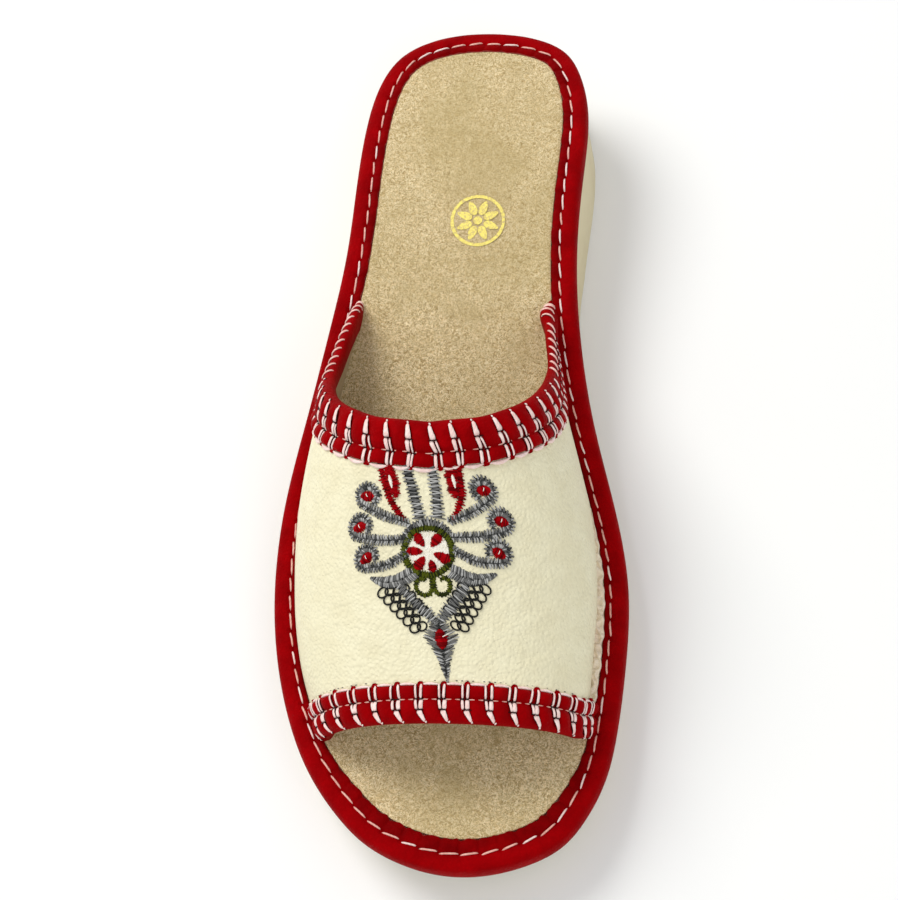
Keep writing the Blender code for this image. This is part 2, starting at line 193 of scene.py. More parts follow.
def top(y):
    rise = (HEEL_HEIGHT - FOREFOOT_HEIGHT) * curve(PROFILE, 1, share_of(y))
    return FOREFOOT_HEIGHT + rise + bottom(y)


def lip_inset(turn):
    return RAND_LIP * curve(LIP, 1, (1 - np.cos(turn)) / 2)


FINE_TURN = np.linspace(0, 2 * np.pi, 1441)
FOOT_LINE = inset_line(FINE_TURN, lip_inset(FINE_TURN) + CLEARANCE)


def foot_lines(y):
    """Places across of the vamp's outer and inner foot at y."""
    half = len(FINE_TURN) // 2
    outer, inner = FOOT_LINE[:half + 1], FOOT_LINE[:half - 1:-1]
    return np.interp(y, outer[:, 1], outer[:, 0]), np.interp(y, inner[:, 1], inner[:, 0])


def vamp(turn, y):
    """Plain outer face of the vamp. Turn 0 is its outer foot, pi its inner foot."""
    outer, inner = foot_lines(y)
    share = share_of(y)
    full = np.where(turn < np.pi / 2, curve(FULLNESS, 1, share), curve(FULLNESS, 2, share))
    power = 2 / full
    crown = INSTEP_HEIGHT * curve(CROWN, 1, share)
    across = np.sign(np.cos(turn)) * np.abs(np.cos(turn)) ** power
    x = (outer + inner) / 2 - (inner - outer) / 2 * across
    z = top(y) + crown * np.abs(np.sin(turn)) ** power
    return np.stack(np.broadcast_arrays(x, y, z), axis=-1)


def collar_y(turn):
    return LENGTH * curve(COLLAR, 1, 1 - np.abs(turn / (np.pi / 2) - 1))


def mouth_y(turn):
    return LENGTH * curve(MOUTH, 1, turn / np.pi)


# Chart of the vamp's face: rows along y, columns by the run from the outer foot
CHART_Y = np.arange(-118, 62, 1.0) * MM
CHART_STEP = 0.5 * MM
CHART_RUN = np.arange(-20, 190, 0.5) * MM


def make_chart():
    """Points by y and run, the turns they were worked out at, and the runs of those."""
    turn = np.linspace(0, np.pi, 361)
    rows, lengths = [], []
    for y in CHART_Y:
        line = vamp(turn, np.full(turn.shape, y))
        along = lengths_along(line)
        k = np.clip(np.searchsorted(along, CHART_RUN) - 1, 0, len(along) - 2)
        s = ((CHART_RUN - along[k]) / (along[k + 1] - along[k]))[:, None]
        rows.append(line[k] * (1 - s) + line[k + 1] * s)
        lengths.append(along)
    return np.array(rows), turn, np.array(lengths)


CHART, CHART_TURN, CHART_LENGTHS = make_chart()


def look_up(grid, row, column):
    """Value of a grid of points between its rows and columns."""
    i, j = np.minimum(row.astype(int), len(grid) - 2), column.astype(int)
    s, t = (row - i)[..., None], (column - j)[..., None]
    near = grid[i, j] * (1 - t) + grid[i, j + 1] * t
    far = grid[i + 1, j] * (1 - t) + grid[i + 1, j + 1] * t
    return near * (1 - s) + far * s


def chart_row(y):
    return np.clip((y - CHART_Y[0]) / MM, 0, len(CHART_Y) - 1.001)


def skin(run, y):
    """Points of the plain vamp face at runs from its outer foot."""
    run, y = np.broadcast_arrays(np.asarray(run, float), np.asarray(y, float))
    column = np.clip((run - CHART_RUN[0]) / CHART_STEP, 0, len(CHART_RUN) - 1.001)
    return look_up(CHART, chart_row(y), column)


def skin_frame(run, y):
    """Change of the vamp's face with the run and with y, and its outward direction."""
    step = 1.2 * MM
    round_it = (skin(run + step, y) - skin(run - step, y)) / (2 * step)
    along_it = (skin(run, y + step) - skin(run, y - step)) / (2 * step)
    return round_it, along_it, unit(np.cross(round_it, along_it))


def run_of(turn, y):
    """Run from the outer foot of places given by turn and y."""
    row = chart_row(y)
    k = row.astype(int)
    near, far = (np.array([np.interp(t, CHART_TURN, CHART_LENGTHS[i]) for t, i in zip(turn, rows)])
                 for rows in (k, k + 1))
    return near + (far - near) * (row - k)


def crown_run(y):
    """Run of the vamp's crown line at y."""
    return np.interp(y, CHART_Y, CHART_LENGTHS[:, len(CHART_TURN) // 2])


def seated(points):
    """Keeps points from going deeper than the tuck between lip and footbed."""
    points[..., 2] = np.maximum(points[..., 2], top(points[..., 1]) - TUCK)
    return points


# Mesh making

def add_object(name, data):
    item = bpy.data.objects.new(name, data)
    bpy.context.scene.collection.objects.link(item)
    return item


def add_mesh(name, points, groups, materials, uv=None, indices=None, closed=False):
    """Mesh of groups of faces that rides on the part; a closed one is welded into one skin."""
    mesh = bpy.data.meshes.new(name)
    faces = []
    for group in groups:
        faces += np.asarray(group).tolist()
    mesh.from_pydata(np.asarray(points).tolist(), [], faces)
    for item in materials:
        mesh.materials.append(item)
    if indices is not None:
        mesh.polygons.foreach_set("material_index", np.asarray(indices, np.int32))
    if uv is not None:
        mesh.uv_layers.new(name="uv").data.foreach_set("uv", np.asarray(uv, np.float32).ravel())
    mesh.shade_smooth()
    mesh.set_sharp_from_angle(angle=np.radians(60))
    piece = add_object(name, mesh)
    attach(piece, "root")
    if closed:
        shell = bmesh.new()
        shell.from_mesh(mesh)
        bmesh.ops.remove_doubles(shell, verts=shell.verts, dist=0.02 * MM)
        bmesh.ops.dissolve_degenerate(shell, dist=0.01 * MM, edges=shell.edges)
        bmesh.ops.recalc_face_normals(shell, faces=shell.faces)
        shell.to_mesh(mesh)
        shell.free()
    return piece


def grid_faces(rows, columns, round_it=False, start=0):
    """Quads of a grid of points; round_it joins the last column to the first."""
    index = np.arange(rows * columns).reshape(rows, columns) + start
    if round_it:
        index = np.column_stack([index, index[:, 0]])
    corners = [index[:-1, :-1], index[:-1, 1:], index[1:, 1:], index[1:, :-1]]
    return np.stack(corners, axis=-1).reshape(-1, 4)


def shell_faces(rows, columns, turned):
    """Faces of an outer and an inner sheet and of the rims between them; turned flips the rims."""
    size = rows * columns
    index = np.arange(size).reshape(rows, columns)
    faces = [grid_faces(rows, columns)[:, ::-1], grid_faces(rows, columns, False, size)]
    for k, line in enumerate((index[0], index[-1], index[:, 0], index[:, -1])):
        quads = np.stack([line[:-1], line[1:], line[1:] + size, line[:-1] + size], axis=-1)
        faces.append(quads[:, ::-1] if (k in (1, 2)) != turned else quads)
    return faces


def smooth_line(rows, count, closed=False):
    """Points of a soft curve through rows of a table, evenly by row."""
    rows = np.asarray(rows, float)
    n = len(rows)
    at = np.linspace(0, n if closed else n - 1, count, endpoint=not closed)
    k = np.minimum(at.astype(int), n - 1 if closed else n - 2)
    t = (at - k)[:, None]

    def row(i):
        return rows[i % n] if closed else rows[np.clip(i, 0, n - 1)]
    p0, p1, p2, p3 = row(k - 1), row(k), row(k + 1), row(k + 2)
    return 0.5 * (2 * p1 + (p2 - p0) * t + (2 * p0 - 5 * p1 + 4 * p2 - p3) * t ** 2
                  + (3 * p1 - p0 - 3 * p2 + p3) * t ** 3)


def threads(paths, ups, wide, high, sides=6):
    """Flattened threads along many paths: points, faces, end faces and a length and round uv."""
    count, steps, _ = paths.shape
    ahead = unit(np.gradient(paths, axis=1))
    side = unit(np.cross(ahead, ups))
    up = np.cross(side, ahead)
    turn = np.arange(sides) * 2 * np.pi / sides
    wide = np.broadcast_to(wide, (count, steps))[..., None]
    high = np.broadcast_to(high, (count, steps))[..., None]
    points = (paths[:, :, None] + side[:, :, None] * (wide * np.cos(turn))[..., None]
              + up[:, :, None] * (high * np.sin(turn))[..., None])
    index = np.arange(count * steps * sides).reshape(count, steps, sides)
    nxt = np.roll(index, -1, axis=2)
    quads = np.stack([index[:, :-1], index[:, 1:], nxt[:, 1:], nxt[:, :-1]], axis=-1).reshape(-1, 4)
    ends = np.concatenate([index[:, 0], index[:, -1, ::-1]])
    run = np.cumsum(np.linalg.norm(np.diff(paths, axis=1, prepend=paths[:, :1]), axis=2), axis=1)
    run = np.broadcast_to(run[:, :, None], (count, steps, sides)) / MM
    u0, u1 = run[:, :-1], run[:, 1:]
    v0 = np.broadcast_to(np.arange(sides) / sides, u0.shape)
    v1 = v0 + 1 / sides
    corners = [np.stack(corner, -1) for corner in ((u0, v0), (u1, v0), (u1, v1), (u0, v1))]
    uv = np.stack(corners, axis=-2).reshape(-1, 2)
    return points.reshape(-1, 3), quads, ends, uv, np.zeros((len(ends) * sides, 2))


def add_threads(name, batches, *colours):
    """One joined mesh of several thread batches, each thread in one of the colours of THREADS."""
    points, quads, ends, uvs, end_uvs, tones, end_tones = [], [], [], [], [], [], []
    offset = 0
    for batch in batches:
        p, q, e, uv, end_uv = threads(*batch)
        count = len(batch[0])
        tone = rng.integers(0, len(colours), count)
        for rows, new in ((points, p), (quads, q + offset), (ends, e + offset), (uvs, uv),
                          (end_uvs, end_uv), (tones, np.repeat(tone, len(q) // count)),
                          (end_tones, np.tile(tone, 2))):
            rows.append(new)
        offset += len(p)
    return add_mesh(name, np.concatenate(points), quads + ends, [THREAD[c] for c in colours],
                    np.concatenate(uvs + end_uvs), np.concatenate(tones + end_tones))


# Materials

def new_material(name, colour, roughness):
    material = bpy.data.materials.new(name)
    material.use_nodes = True
    tree = material.node_tree
    shader = tree.nodes["Principled BSDF"]
    dress(tree, shader, Base_Color=colour, Roughness=roughness)
    return material, tree, shader


def feed(tree, socket, value):
    """Links a socket to its source, or sets it; a colour gets its alpha."""
    if isinstance(value, bpy.types.NodeSocket):
        tree.links.new(value, socket)
    else:
        socket.default_value = (*value, 1) if np.size(value) == 3 else value


def dress(tree, item, **values):
    """Sets what a node has under each name, with _ for a space: a socket or a setting."""
    for key, value in values.items():
        socket = item.inputs.get(key.replace("_", " "))
        if socket is None:
            setattr(item, key, value)
        else:
            feed(tree, socket, value)
    return item


def node(tree, kind, **values):
    return dress(tree, tree.nodes.new(kind), **values)


def ramp(tree, factor, stops):
    """Colours or greys by the value of a factor: place and colour of each stop."""
    item = tree.nodes.new("ShaderNodeValToRGB")
    tree.links.new(factor, item.inputs[0])
    elements = item.color_ramp.elements
    while len(elements) < len(stops):
        elements.new(0.5)
    for element, (place, colour) in zip(elements, stops):
        element.position = place
        element.color = (*colour, 1) if np.ndim(colour) else (colour, colour, colour, 1)
    return item.outputs["Color"]


def noise(tree, where, scale, detail=3.0, rough=0.5, distortion=0.0):
    return node(tree, "ShaderNodeTexNoise", Vector=where, Scale=scale, Detail=detail,
                Roughness=rough, Distortion=distortion).outputs["Fac"]


def bumps(tree, *layers):
    """Normal of layers laid on each other: height, strength and distance in millimetres of each."""
    below = {}
    for height, strength, distance in layers:
        item = node(tree, "ShaderNodeBump", Height=height, Strength=strength,
                    Distance=distance * MM, **below)
        below = {"Normal": item.outputs["Normal"]}
    return below["Normal"]


def maths(tree, operation, *values):
    item = node(tree, "ShaderNodeMath", operation=operation)
    for socket, value in zip(item.inputs, values):
        feed(tree, socket, value)
    return item.outputs[0]


def place(tree, output="Object"):
    return tree.nodes.new("ShaderNodeTexCoord").outputs[output]


def mix_colour(tree, factor, a, b):
    item = node(tree, "ShaderNodeMix", data_type="RGBA")
    for k, value in ((0, factor), (6, a), (7, b)):
        feed(tree, item.inputs[k], value)
    return item.outputs[2]


def leather(name, light, dark, grain, roughness, depth=0.10, wrinkle=0.16, shine=0.4,
            tint=(1, 1, 1)):
    """Leather with pebble cells, pores and soft wrinkles; grain and depths in millimetres."""
    material, tree, shader = new_material(name, light, roughness)
    where = place(tree)
    cells = node(tree, "ShaderNodeTexVoronoi", feature="SMOOTH_F1", Vector=where,
                 Scale=1 / (grain * MM), Randomness=1.0).outputs["Distance"]
    pores = noise(tree, where, 2.2 / (grain * MM), 2)
    folds = noise(tree, where, 95, 4, 0.6, 1.6)
    tone = ramp(tree, noise(tree, where, 160, 2), ((0.3, dark), (0.7, light)))
    shade = ramp(tree, cells, ((0.0, 0), (0.75, 0.35)))
    dress(tree, shader, Base_Color=mix_colour(tree, shade, tone, tuple(c * 0.8 for c in dark)),
          Roughness=ramp(tree, folds, ((0.3, roughness - 0.06), (0.7, roughness + 0.1))),
          Normal=bumps(tree, (folds, 0.5, wrinkle), (cells, 0.8, depth), (pores, 0.4, depth * 0.5)),
          Specular_IOR_Level=shine, Specular_Tint=tint)
    return material


def suede_material():
    """Napped split: fine short pile in four tones, curls, wisps, brushed nap and large dark patches
    that are painted shade.
    """
    material, tree, shader = new_material("suede", (0.56, 0.42, 0.25), 0.95)
    where = place(tree)
    pile = noise(tree, where, 1150, 4, 0.8, 1.0)
    curls = noise(tree, where, 430, 3, 0.65, 2.2)
    wisps = noise(tree, where, 390, 3, 0.65, 3.0)
    brushed = noise(tree, where, 42, 4, 0.65, 1.0)
    painted_shade_patches = noise(tree, where, 17, 3, 0.6, 0.6)
    tone = ramp(tree, pile, ((0.36, (0.30, 0.200, 0.082)), (0.47, (0.57, 0.42, 0.205)),
                             (0.55, (0.71, 0.54, 0.285)), (0.66, (0.96, 0.78, 0.49))))
    for layer, stops, colour in (
            (curls, ((0.43, 0), (0.475, 0.82), (0.505, 0.82), (0.55, 0)), (0.29, 0.200, 0.075)),
            (wisps, ((0.45, 0), (0.49, 0.74), (0.51, 0.74), (0.55, 0)), (1.0, 0.87, 0.58)),
            (curls, ((0.64, 0), (0.70, 0.9)), (0.20, 0.13, 0.045)),
            (brushed, ((0.42, 0), (0.70, 0.42)), (0.46, 0.345, 0.160)),
            # large dark patches at random: painted shade of the footbed's soft dips
            (painted_shade_patches, ((0.46, 0), (0.66, 0.45)), (0.42, 0.325, 0.14))):
        tone = mix_colour(tree, ramp(tree, layer, stops), tone, colour)
    dress(tree, shader, Base_Color=tone, Specular_IOR_Level=0.1, Sheen_Weight=0.15,
          Normal=bumps(tree, (brushed, 0.5, 0.5), (curls, 0.6, 0.30), (pile, 0.9, 0.22)),
          Sheen_Roughness=0.5)
    return material


def foam_material():
    """Cream moulded foam with fine closed pores."""
    material, tree, shader = new_material("foam", (0.82, 0.69, 0.46), 0.6)
    where = place(tree)
    cloud = noise(tree, where, 40, 3)
    pores = node(tree, "ShaderNodeTexVoronoi", Vector=where, Scale=1500.0).outputs["Distance"]
    tone = ramp(tree, cloud, ((0.3, (0.62, 0.53, 0.32)), (0.7, (0.71, 0.63, 0.41))))
    dress(tree, shader, Base_Color=tone,
          Normal=bumps(tree, (cloud, 0.3, 0.4), (pores, 0.35, 0.12)))
    return material


def thread_material(name, light, dark, sheen=0.0, shine=0.2):
    """Embroidery thread: three plies that twist along it and a soft silky sheen."""
    material, tree, shader = new_material(name, light, 0.5)
    split = node(tree, "ShaderNodeSeparateXYZ", Vector=place(tree, "UV")).outputs
    plies = maths(tree, "MULTIPLY_ADD", split[1], 3.0, maths(tree, "MULTIPLY", split[0], 0.9))
    twist = maths(tree, "SINE", maths(tree, "MULTIPLY", plies, 2 * np.pi))
    tone = ramp(tree, noise(tree, place(tree), 700, 2), ((0.3, dark), (0.65, light)))
    dress(tree, shader, Base_Color=tone, Normal=bumps(tree, (twist, 0.5, 0.05)),
          Specular_IOR_Level=shine, Specular_Tint=unit(np.array(light) + 0.02),
          Sheen_Weight=sheen, Sheen_Roughness=0.4)
    return material


def foil_material():
    """Thin gold foil, worn through in specks to the suede."""
    material, tree, shader = new_material("gold_foil", (0.86, 0.74, 0.22), 0.42)
    wear = noise(tree, place(tree), 1700, 4, 0.8, 1.0)
    tone = ramp(tree, wear, ((0.40, (0.52, 0.39, 0.19)), (0.50, (0.82, 0.69, 0.13)),
                             (0.8, (0.94, 0.84, 0.28))))
    dress(tree, shader, Base_Color=tone, Metallic=ramp(tree, wear, ((0.42, 0), (0.50, 0.35))),
          Normal=bumps(tree, (wear, 0.5, 0.15)))
    return material


# Leathers: light and dark colour, grain, roughness, depth of the grain and of the wrinkles
CREAM = leather("cream_leather", (0.86, 0.81, 0.57), (0.80, 0.74, 0.50), 0.85, 0.46,
                0.42, 0.66, 0.42)
RED = leather("red_leather", (0.335, 0.0004, 0.0018), (0.225, 0.0003, 0.0012), 0.7, 0.72,
              0.20, 0.28, 0.10, (1.0, 0.05, 0.08))
# Darker copy of the red leather for the rand's lip: painted shade of its puckers and slope
SHADED_RED_LIP = leather("shaded_lip_leather", (0.255, 0.0003, 0.0012), (0.150, 0.0002, 0.0008), 0.7, 0.6,
                  0.20, 0.40, 0.08, (1.0, 0.08, 0.10))
CUT_EDGE = leather("cut_edge", (0.52, 0.115, 0.095), (0.34, 0.030, 0.028), 0.5, 0.85, 0.2, 0.3, 0.1)
PUCKERED = leather("puckered_leather", (0.94, 0.86, 0.68), (0.82, 0.68, 0.53), 1.1, 0.6,
                   0.5, 0.9, 0.3)
LINING = leather("vamp_lining", (0.52, 0.41, 0.25), (0.42, 0.33, 0.19), 0.9, 0.8)
SUEDE = suede_material()
FOAM = foam_material()
FOIL = foil_material()

# Threads: light and dark colour, sheen, shine
THREADS = {
    "white": ((0.92, 0.75, 0.70), (0.82, 0.56, 0.51), 0.2),
    "rose": ((0.90, 0.61, 0.54), (0.76, 0.38, 0.33), 0.15),
    "seam": ((0.86, 0.50, 0.42), (0.70, 0.33, 0.27), 0.1),
    "dark": ((0.016, 0.002, 0.002), (0.007, 0.001, 0.001)),
    # under: dark red under-threads, painted shadow round the whip stitches
    "under": ((0.050, 0.0006, 0.0010), (0.024, 0.0003, 0.0005)),
    "grey": ((0.17, 0.17, 0.163), (0.10, 0.10, 0.096), 0.05, 0.4),
    "pale": ((0.48, 0.48, 0.46), (0.33, 0.33, 0.315), 0.1, 0.4),
    "slate": ((0.055, 0.056, 0.055), (0.028, 0.029, 0.028)),
    "black": ((0.012, 0.012, 0.011), (0.006, 0.006, 0.005)),
    "crimson": ((0.36, 0.0012, 0.0040), (0.22, 0.0006, 0.0020)),
    "wine": ((0.15, 0.0006, 0.0018), (0.08, 0.0003, 0.0009)),
    "olive": ((0.080, 0.095, 0.008), (0.045, 0.055, 0.004)),
    "moss": ((0.020, 0.026, 0.003), (0.010, 0.013, 0.002)),
    "snow": ((0.93, 0.90, 0.80), (0.84, 0.80, 0.67), 0.1),
}
THREAD = {name: thread_material(name + "_thread", *row) for name, row in THREADS.items()}


# Platform: foam wedge, rand and footbed

def ring(turn, inset, height):
    """Points round the platform at an inset; height gives z from y."""
    flat = inset_line(turn, inset)
    return np.column_stack([flat, height(flat[:, 1])])


def cap_grid(loop, columns, height):
    """Grid that spans a platform loop from its outer to its inner side."""
    half = len(loop) // 2
    outer = loop[:half + 1]
    inner = np.vstack([loop[:1], loop[:half - 1:-1]])
    share = np.linspace(0, 1, columns + 1)[None, :, None]
    grid = outer[:, None] * (1 - share) + inner[:, None] * share
    grid[..., 2] = height(grid, share[..., 0])
    return grid


def slab(name, rows, caps, material):
    """Solid with side rows, closed by a grid under it and one on it: height and columns of each."""
    side = np.array(rows)
    points = side.reshape(-1, 3)
    faces = [grid_faces(len(side), side.shape[1], True)[:, ::-1]]
    for loop, (height, columns), flip in zip((side[0], side[-1]), caps, (True, False)):
        grid = cap_grid(loop, columns, height)
        quads = grid_faces(*grid.shape[:2], False, len(points))
        faces.append(quads[:, ::-1] if flip else quads)
        points = np.vstack([points, grid.reshape(-1, 3)])
    return add_mesh(name, points, faces, [material], closed=True)


def wedge():
    """Foam wedge with a moulded parting line and a ribbed underside."""
    turn = np.arange(960) * 2 * np.pi / 960
    station = (1 - np.cos(turn)) / 2
    foot = -SOLE_FLARE * np.where(turn <= np.pi, curve(FLARE, 1, station), curve(FLARE, 2, station))
    rows = []
    for a in np.radians((90, 68, 45, 22)):
        rows.append(ring(turn, foot + SOLE_ROUND * (1 - np.cos(a)),
                         lambda y: bottom(y) + SOLE_ROUND * (1 - np.sin(a))))
    for t in np.linspace(0, 1, 15):
        inset = foot * (1 - t) + SOLE_SETBACK * t - PARTING_DEPTH * hump(t - 0.30, 0.05)
        rows.append(ring(turn, inset, lambda y: (bottom(y) + SOLE_ROUND) * (1 - t)
                         + (top(y) - RAND_HEIGHT - CLEARANCE) * t))

    def ribs(grid, share):
        y = grid[..., 1]
        edge = np.minimum(share, 1 - share) * np.abs(grid[:, -1:, 0] - grid[:, :1, 0])
        cut = np.clip(np.sin(2 * np.pi * y / RIB_PITCH) * 3, 0, 1)
        return bottom(y) + (RIB_DEPTH * cut * fade(edge - RIB_MARGIN, 0.0015)
                            * fade(RIB_REACH - np.abs(y), 0.003))

    def flat_top(grid, share):
        return top(grid[..., 1]) - RAND_HEIGHT - CLEARANCE
    piece = slab("wedge", rows, ((ribs, 28), (flat_top, 6)), FOAM)
    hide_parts("outsole")


RAND_PITCH = 5.4 * MM


def seam():
    """Run of the rand's seam at each fine turn, and the length and number of its stitches."""
    line = inset_line(FINE_TURN, STITCH_INSET)
    along = lengths_along(np.column_stack([line, top(line[:, 1])]))
    count = int(round(along[-1] / RAND_PITCH))
    return along, along[-1] / count, count
RAND_ALONG, RAND_STEP, RAND_COUNT = seam()


def rand_point(turn, across, height):
    """Point of the rand at a place across and a share of its height."""
    over_lip = (lip_inset(turn) - STITCH_INSET) * np.maximum(across - 1, 0)
    flat = inset_line(turn, STITCH_INSET * np.minimum(across, 1) + over_lip)
    return np.column_stack([flat, top(flat[:, 1]) + height * RAND_HEIGHT])


def rand():
    """Leather cover: hand cut lip, sunk seam that puckers at each stitch, rounded edge and wall."""
    turn = np.linspace(0, 2 * np.pi, 1600, endpoint=False)
    phase = (np.interp(turn, FINE_TURN, RAND_ALONG) / RAND_STEP) % 1
    hole = hump(np.minimum(phase, 1 - phase), 0.12)
    cut = (0.5 * np.sin(turn * 61 + 2 * np.sin(turn * 17))
           + 0.5 * np.sin(turn * 113 + np.sin(turn * 29)))
    waves = 0.12 * MM * (np.sin(turn * 23 + 1) + 0.6 * np.sin(turn * 61 + 2))
    face = smooth_line(RAND_FACE, 52)
    rings = []
    for across, height in face:
        seam_dip = hump(across - 1, 0.13)
        puckers = 0.20 * MM * hump(across - 1.6, 0.4) * (0.6 - 1.8 * hole + 0.4 * cut)
        ragged = 0.075 * fade(across - 1.4, 0.5) * (cut - 1.3 * hole)
        line = rand_point(turn, across + ragged, height)
        line[:, 2] += (-0.24 * MM * seam_dip - 0.46 * MM * seam_dip * hole + puckers
                       + waves * hump(across - 0.5, 0.3))
        rings.append(line)
    wall = RAND_UNDERCUT + RAND_THICKNESS
    for inset, depth in ((wall, RAND_HEIGHT), (wall - RAND_UNDERCUT * 0.25, RAND_THICKNESS * 0.8),
                         (lip_inset(turn), RAND_THICKNESS * 0.5)):
        rings.append(ring(turn, inset, lambda y: top(y) - depth))
    rows = np.array(rings + rings[:1])
    indices = np.zeros((len(rows) - 1, len(turn)))
    # the lip's faces take the darker red leather: painted shade
    indices[:np.sum(face[:, 0] > 1.02)] = 2
    indices[:4] = 1
    indices[-1] = 1
    piece = add_mesh("rand_leather", rows.reshape(-1, 3), [grid_faces(len(rows), len(turn), True)],
                     [RED, CUT_EDGE, SHADED_RED_LIP], None, indices.ravel(), True)
    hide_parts("rand")


def rand_stitches():
    """Slanted, slightly uneven stitches in the rand's groove, and dark marks at their needle holes
    that are painted shade.
    """
    steps = np.linspace(-1, 1, 9)
    paths, hole_shades = [], []
    for k in range(RAND_COUNT):
        half = (2.25 + 0.13 * rng.normal()) * MM
        at = np.interp((k + 0.5) * RAND_STEP + steps * half, RAND_ALONG, FINE_TURN)
        across = (1 - (0.055 + 0.014 * rng.normal()) * steps + 0.012 * rng.normal()
                  + 0.012 * (1 - steps ** 2))
        line = rand_point(at, across, 0.04)
        line[:, 2] += (0.12 - 0.62 * np.abs(steps) ** 5) * MM
        paths.append(line)
        spot = rand_point(at[-1:], across[-1:], 0.0)[0]
        ahead = unit(line[-1, :2] - line[-2, :2])
        flat = spot[:2] + ahead * (steps[:, None] * 0.42 * MM + 0.25 * MM)
        hole_shades.append(np.column_stack([flat, np.full(len(flat), spot[2] - 0.30 * MM)]))
    ups = (0.0, 0.0, 1.0)
    wide = 0.27 * MM * (1 - 0.45 * np.abs(steps) ** 5)
    high = 0.24 * MM * (1 - 0.4 * np.abs(steps) ** 5)
    batch = (np.array(paths), ups, wide, high, 8)
    piece = add_threads("rand_stitches", [batch], "seam", "white", "seam")
    # dark marks sunk at the stitch ends: painted shade in the needle holes
    batch = (np.array(hole_shades), ups, 0.26 * MM, 0.12 * MM, 8)
    dark = add_threads("rand_needle_hole_shades", [batch], "dark")


def footbed():
    """Suede slab: napped top that dips at its edge under the lip."""
    turn = np.arange(480) * 2 * np.pi / 480
    side = RAND_UNDERCUT + RAND_THICKNESS + CLEARANCE
    edge = lip_inset(turn) + CLEARANCE * 0.4
    rows = []
    for inset, height in ((side, -RAND_HEIGHT), (side, -RAND_THICKNESS * 0.8 - CLEARANCE * 1.2),
                          (edge, -RAND_THICKNESS * 0.5 - CLEARANCE), (edge, -0.15 * MM),
                          (edge + 0.35 * MM, 0.02 * MM), (edge + 1.2 * MM, 0)):
        rows.append(ring(turn, inset, lambda y: top(y) + height))

    def nap(grid, share):
        x, y = grid[..., 0], grid[..., 1]
        wave = np.sin(x * 260 + 2 * np.sin(y * 90)) * np.sin(y * 170 + 1.3 * np.sin(x * 120))
        return top(y) + 0.10 * MM * wave * np.clip(np.minimum(share, 1 - share) * 8, 0, 1)

    def under(grid, share):
        return top(grid[..., 1]) - RAND_HEIGHT
    piece = slab("footbed", rows, ((under, 56), (nap, 56)), SUEDE)
    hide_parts("insole")


# Vamp

# Creases of the vamp, in millimetres: start across and along, end across and along,
# half width, depth. Across is from the crown toward the inner side, along is y.
CREASES = (
    (14.0, -80.0, 36.0, -71.0, 1.6, 0.16),
    (10.0, -72.0, 34.0, -60.0, 1.8, 0.14),
    (18.0, -62.0, 38.0, -50.0, 1.5, 0.14),
    (24.0, -52.0, 41.0, -40.0, 1.6, 0.12),
    (-12.0, -78.0, -30.0, -73.0, 1.5, 0.12),
    (-14.0, -68.0, -36.0, -64.0, 1.6, 0.10),
    (-26.0, -48.0, -40.0, -56.0, 1.8, 0.12),
    (-20.0, -30.0, -36.0, -40.0, 1.6, 0.12),
    (26.0, -30.0, 38.0, -38.0, 1.6, 0.12),
    (8.0, -83.0, 24.0, -80.0, 1.2, 0.10),
)


# Margin of the vamp along its inner foot: y, how far the wall stands back, in millimetres
MARGIN = (
    (-88.0, 0.0), (-84.0, 1.0), (-78.0, 1.7), (-68.0, 2.5), (-58.0, 2.9), (-48.0, 2.9),
    (-40.0, 2.3), (-32.0, 1.1), (-24.0, 0.0), (-20.0, 0.0))


def margin(y):
    return curve(MARGIN, 1, np.asarray(y) / MM) * MM


def relief(across, y):
    """Height of the vamp's soft creases and swells over its plain face."""
    a, b = across / MM, y / MM
    height = 0.10 * np.sin(a * 0.21 + 1.1 * np.sin(b * 0.11)) * np.sin(b * 0.17 + 0.8)
    for a0, b0, a1, b1, half, depth in CREASES:
        run = np.hypot(a1 - a0, b1 - b0)
        t = ((a - a0) * (a1 - a0) + (b - b0) * (b1 - b0)) / run ** 2
        bend = 0.9 * np.sin(np.clip(t, 0, 1) * np.pi)
        off = ((a - a0) * (b1 - b0) - (b - b0) * (a1 - a0)) / run - bend
        ends = np.clip(1 - np.abs(2 * t - 1), 0, 1) ** 0.7
        height = height + depth * ends * (hump(off - half, half) - hump(off, half))
    return height * MM


def dressed(run, y, lift=0.0):
    """Point on the dressed vamp at a run and y, raised by a lift, with its outward direction."""
    _, _, out = skin_frame(run, y)
    height = relief(run - crown_run(y), y) + lift
    spot = skin(run, y) + out * np.asarray(height)[..., None]
    return stand_back(spot, run, y), out


def stand_back(spot, run, y):
    """Draws the wall in by its margin near the inner foot."""
    rise = np.clip(spot[..., 2] - top(spot[..., 1]), 0, 1)
    pull = margin(y) * np.exp(-(rise / (7 * MM)) ** 1.4) * (run > crown_run(y))
    spot = spot.copy()
    spot[..., 0] -= pull
    return spot


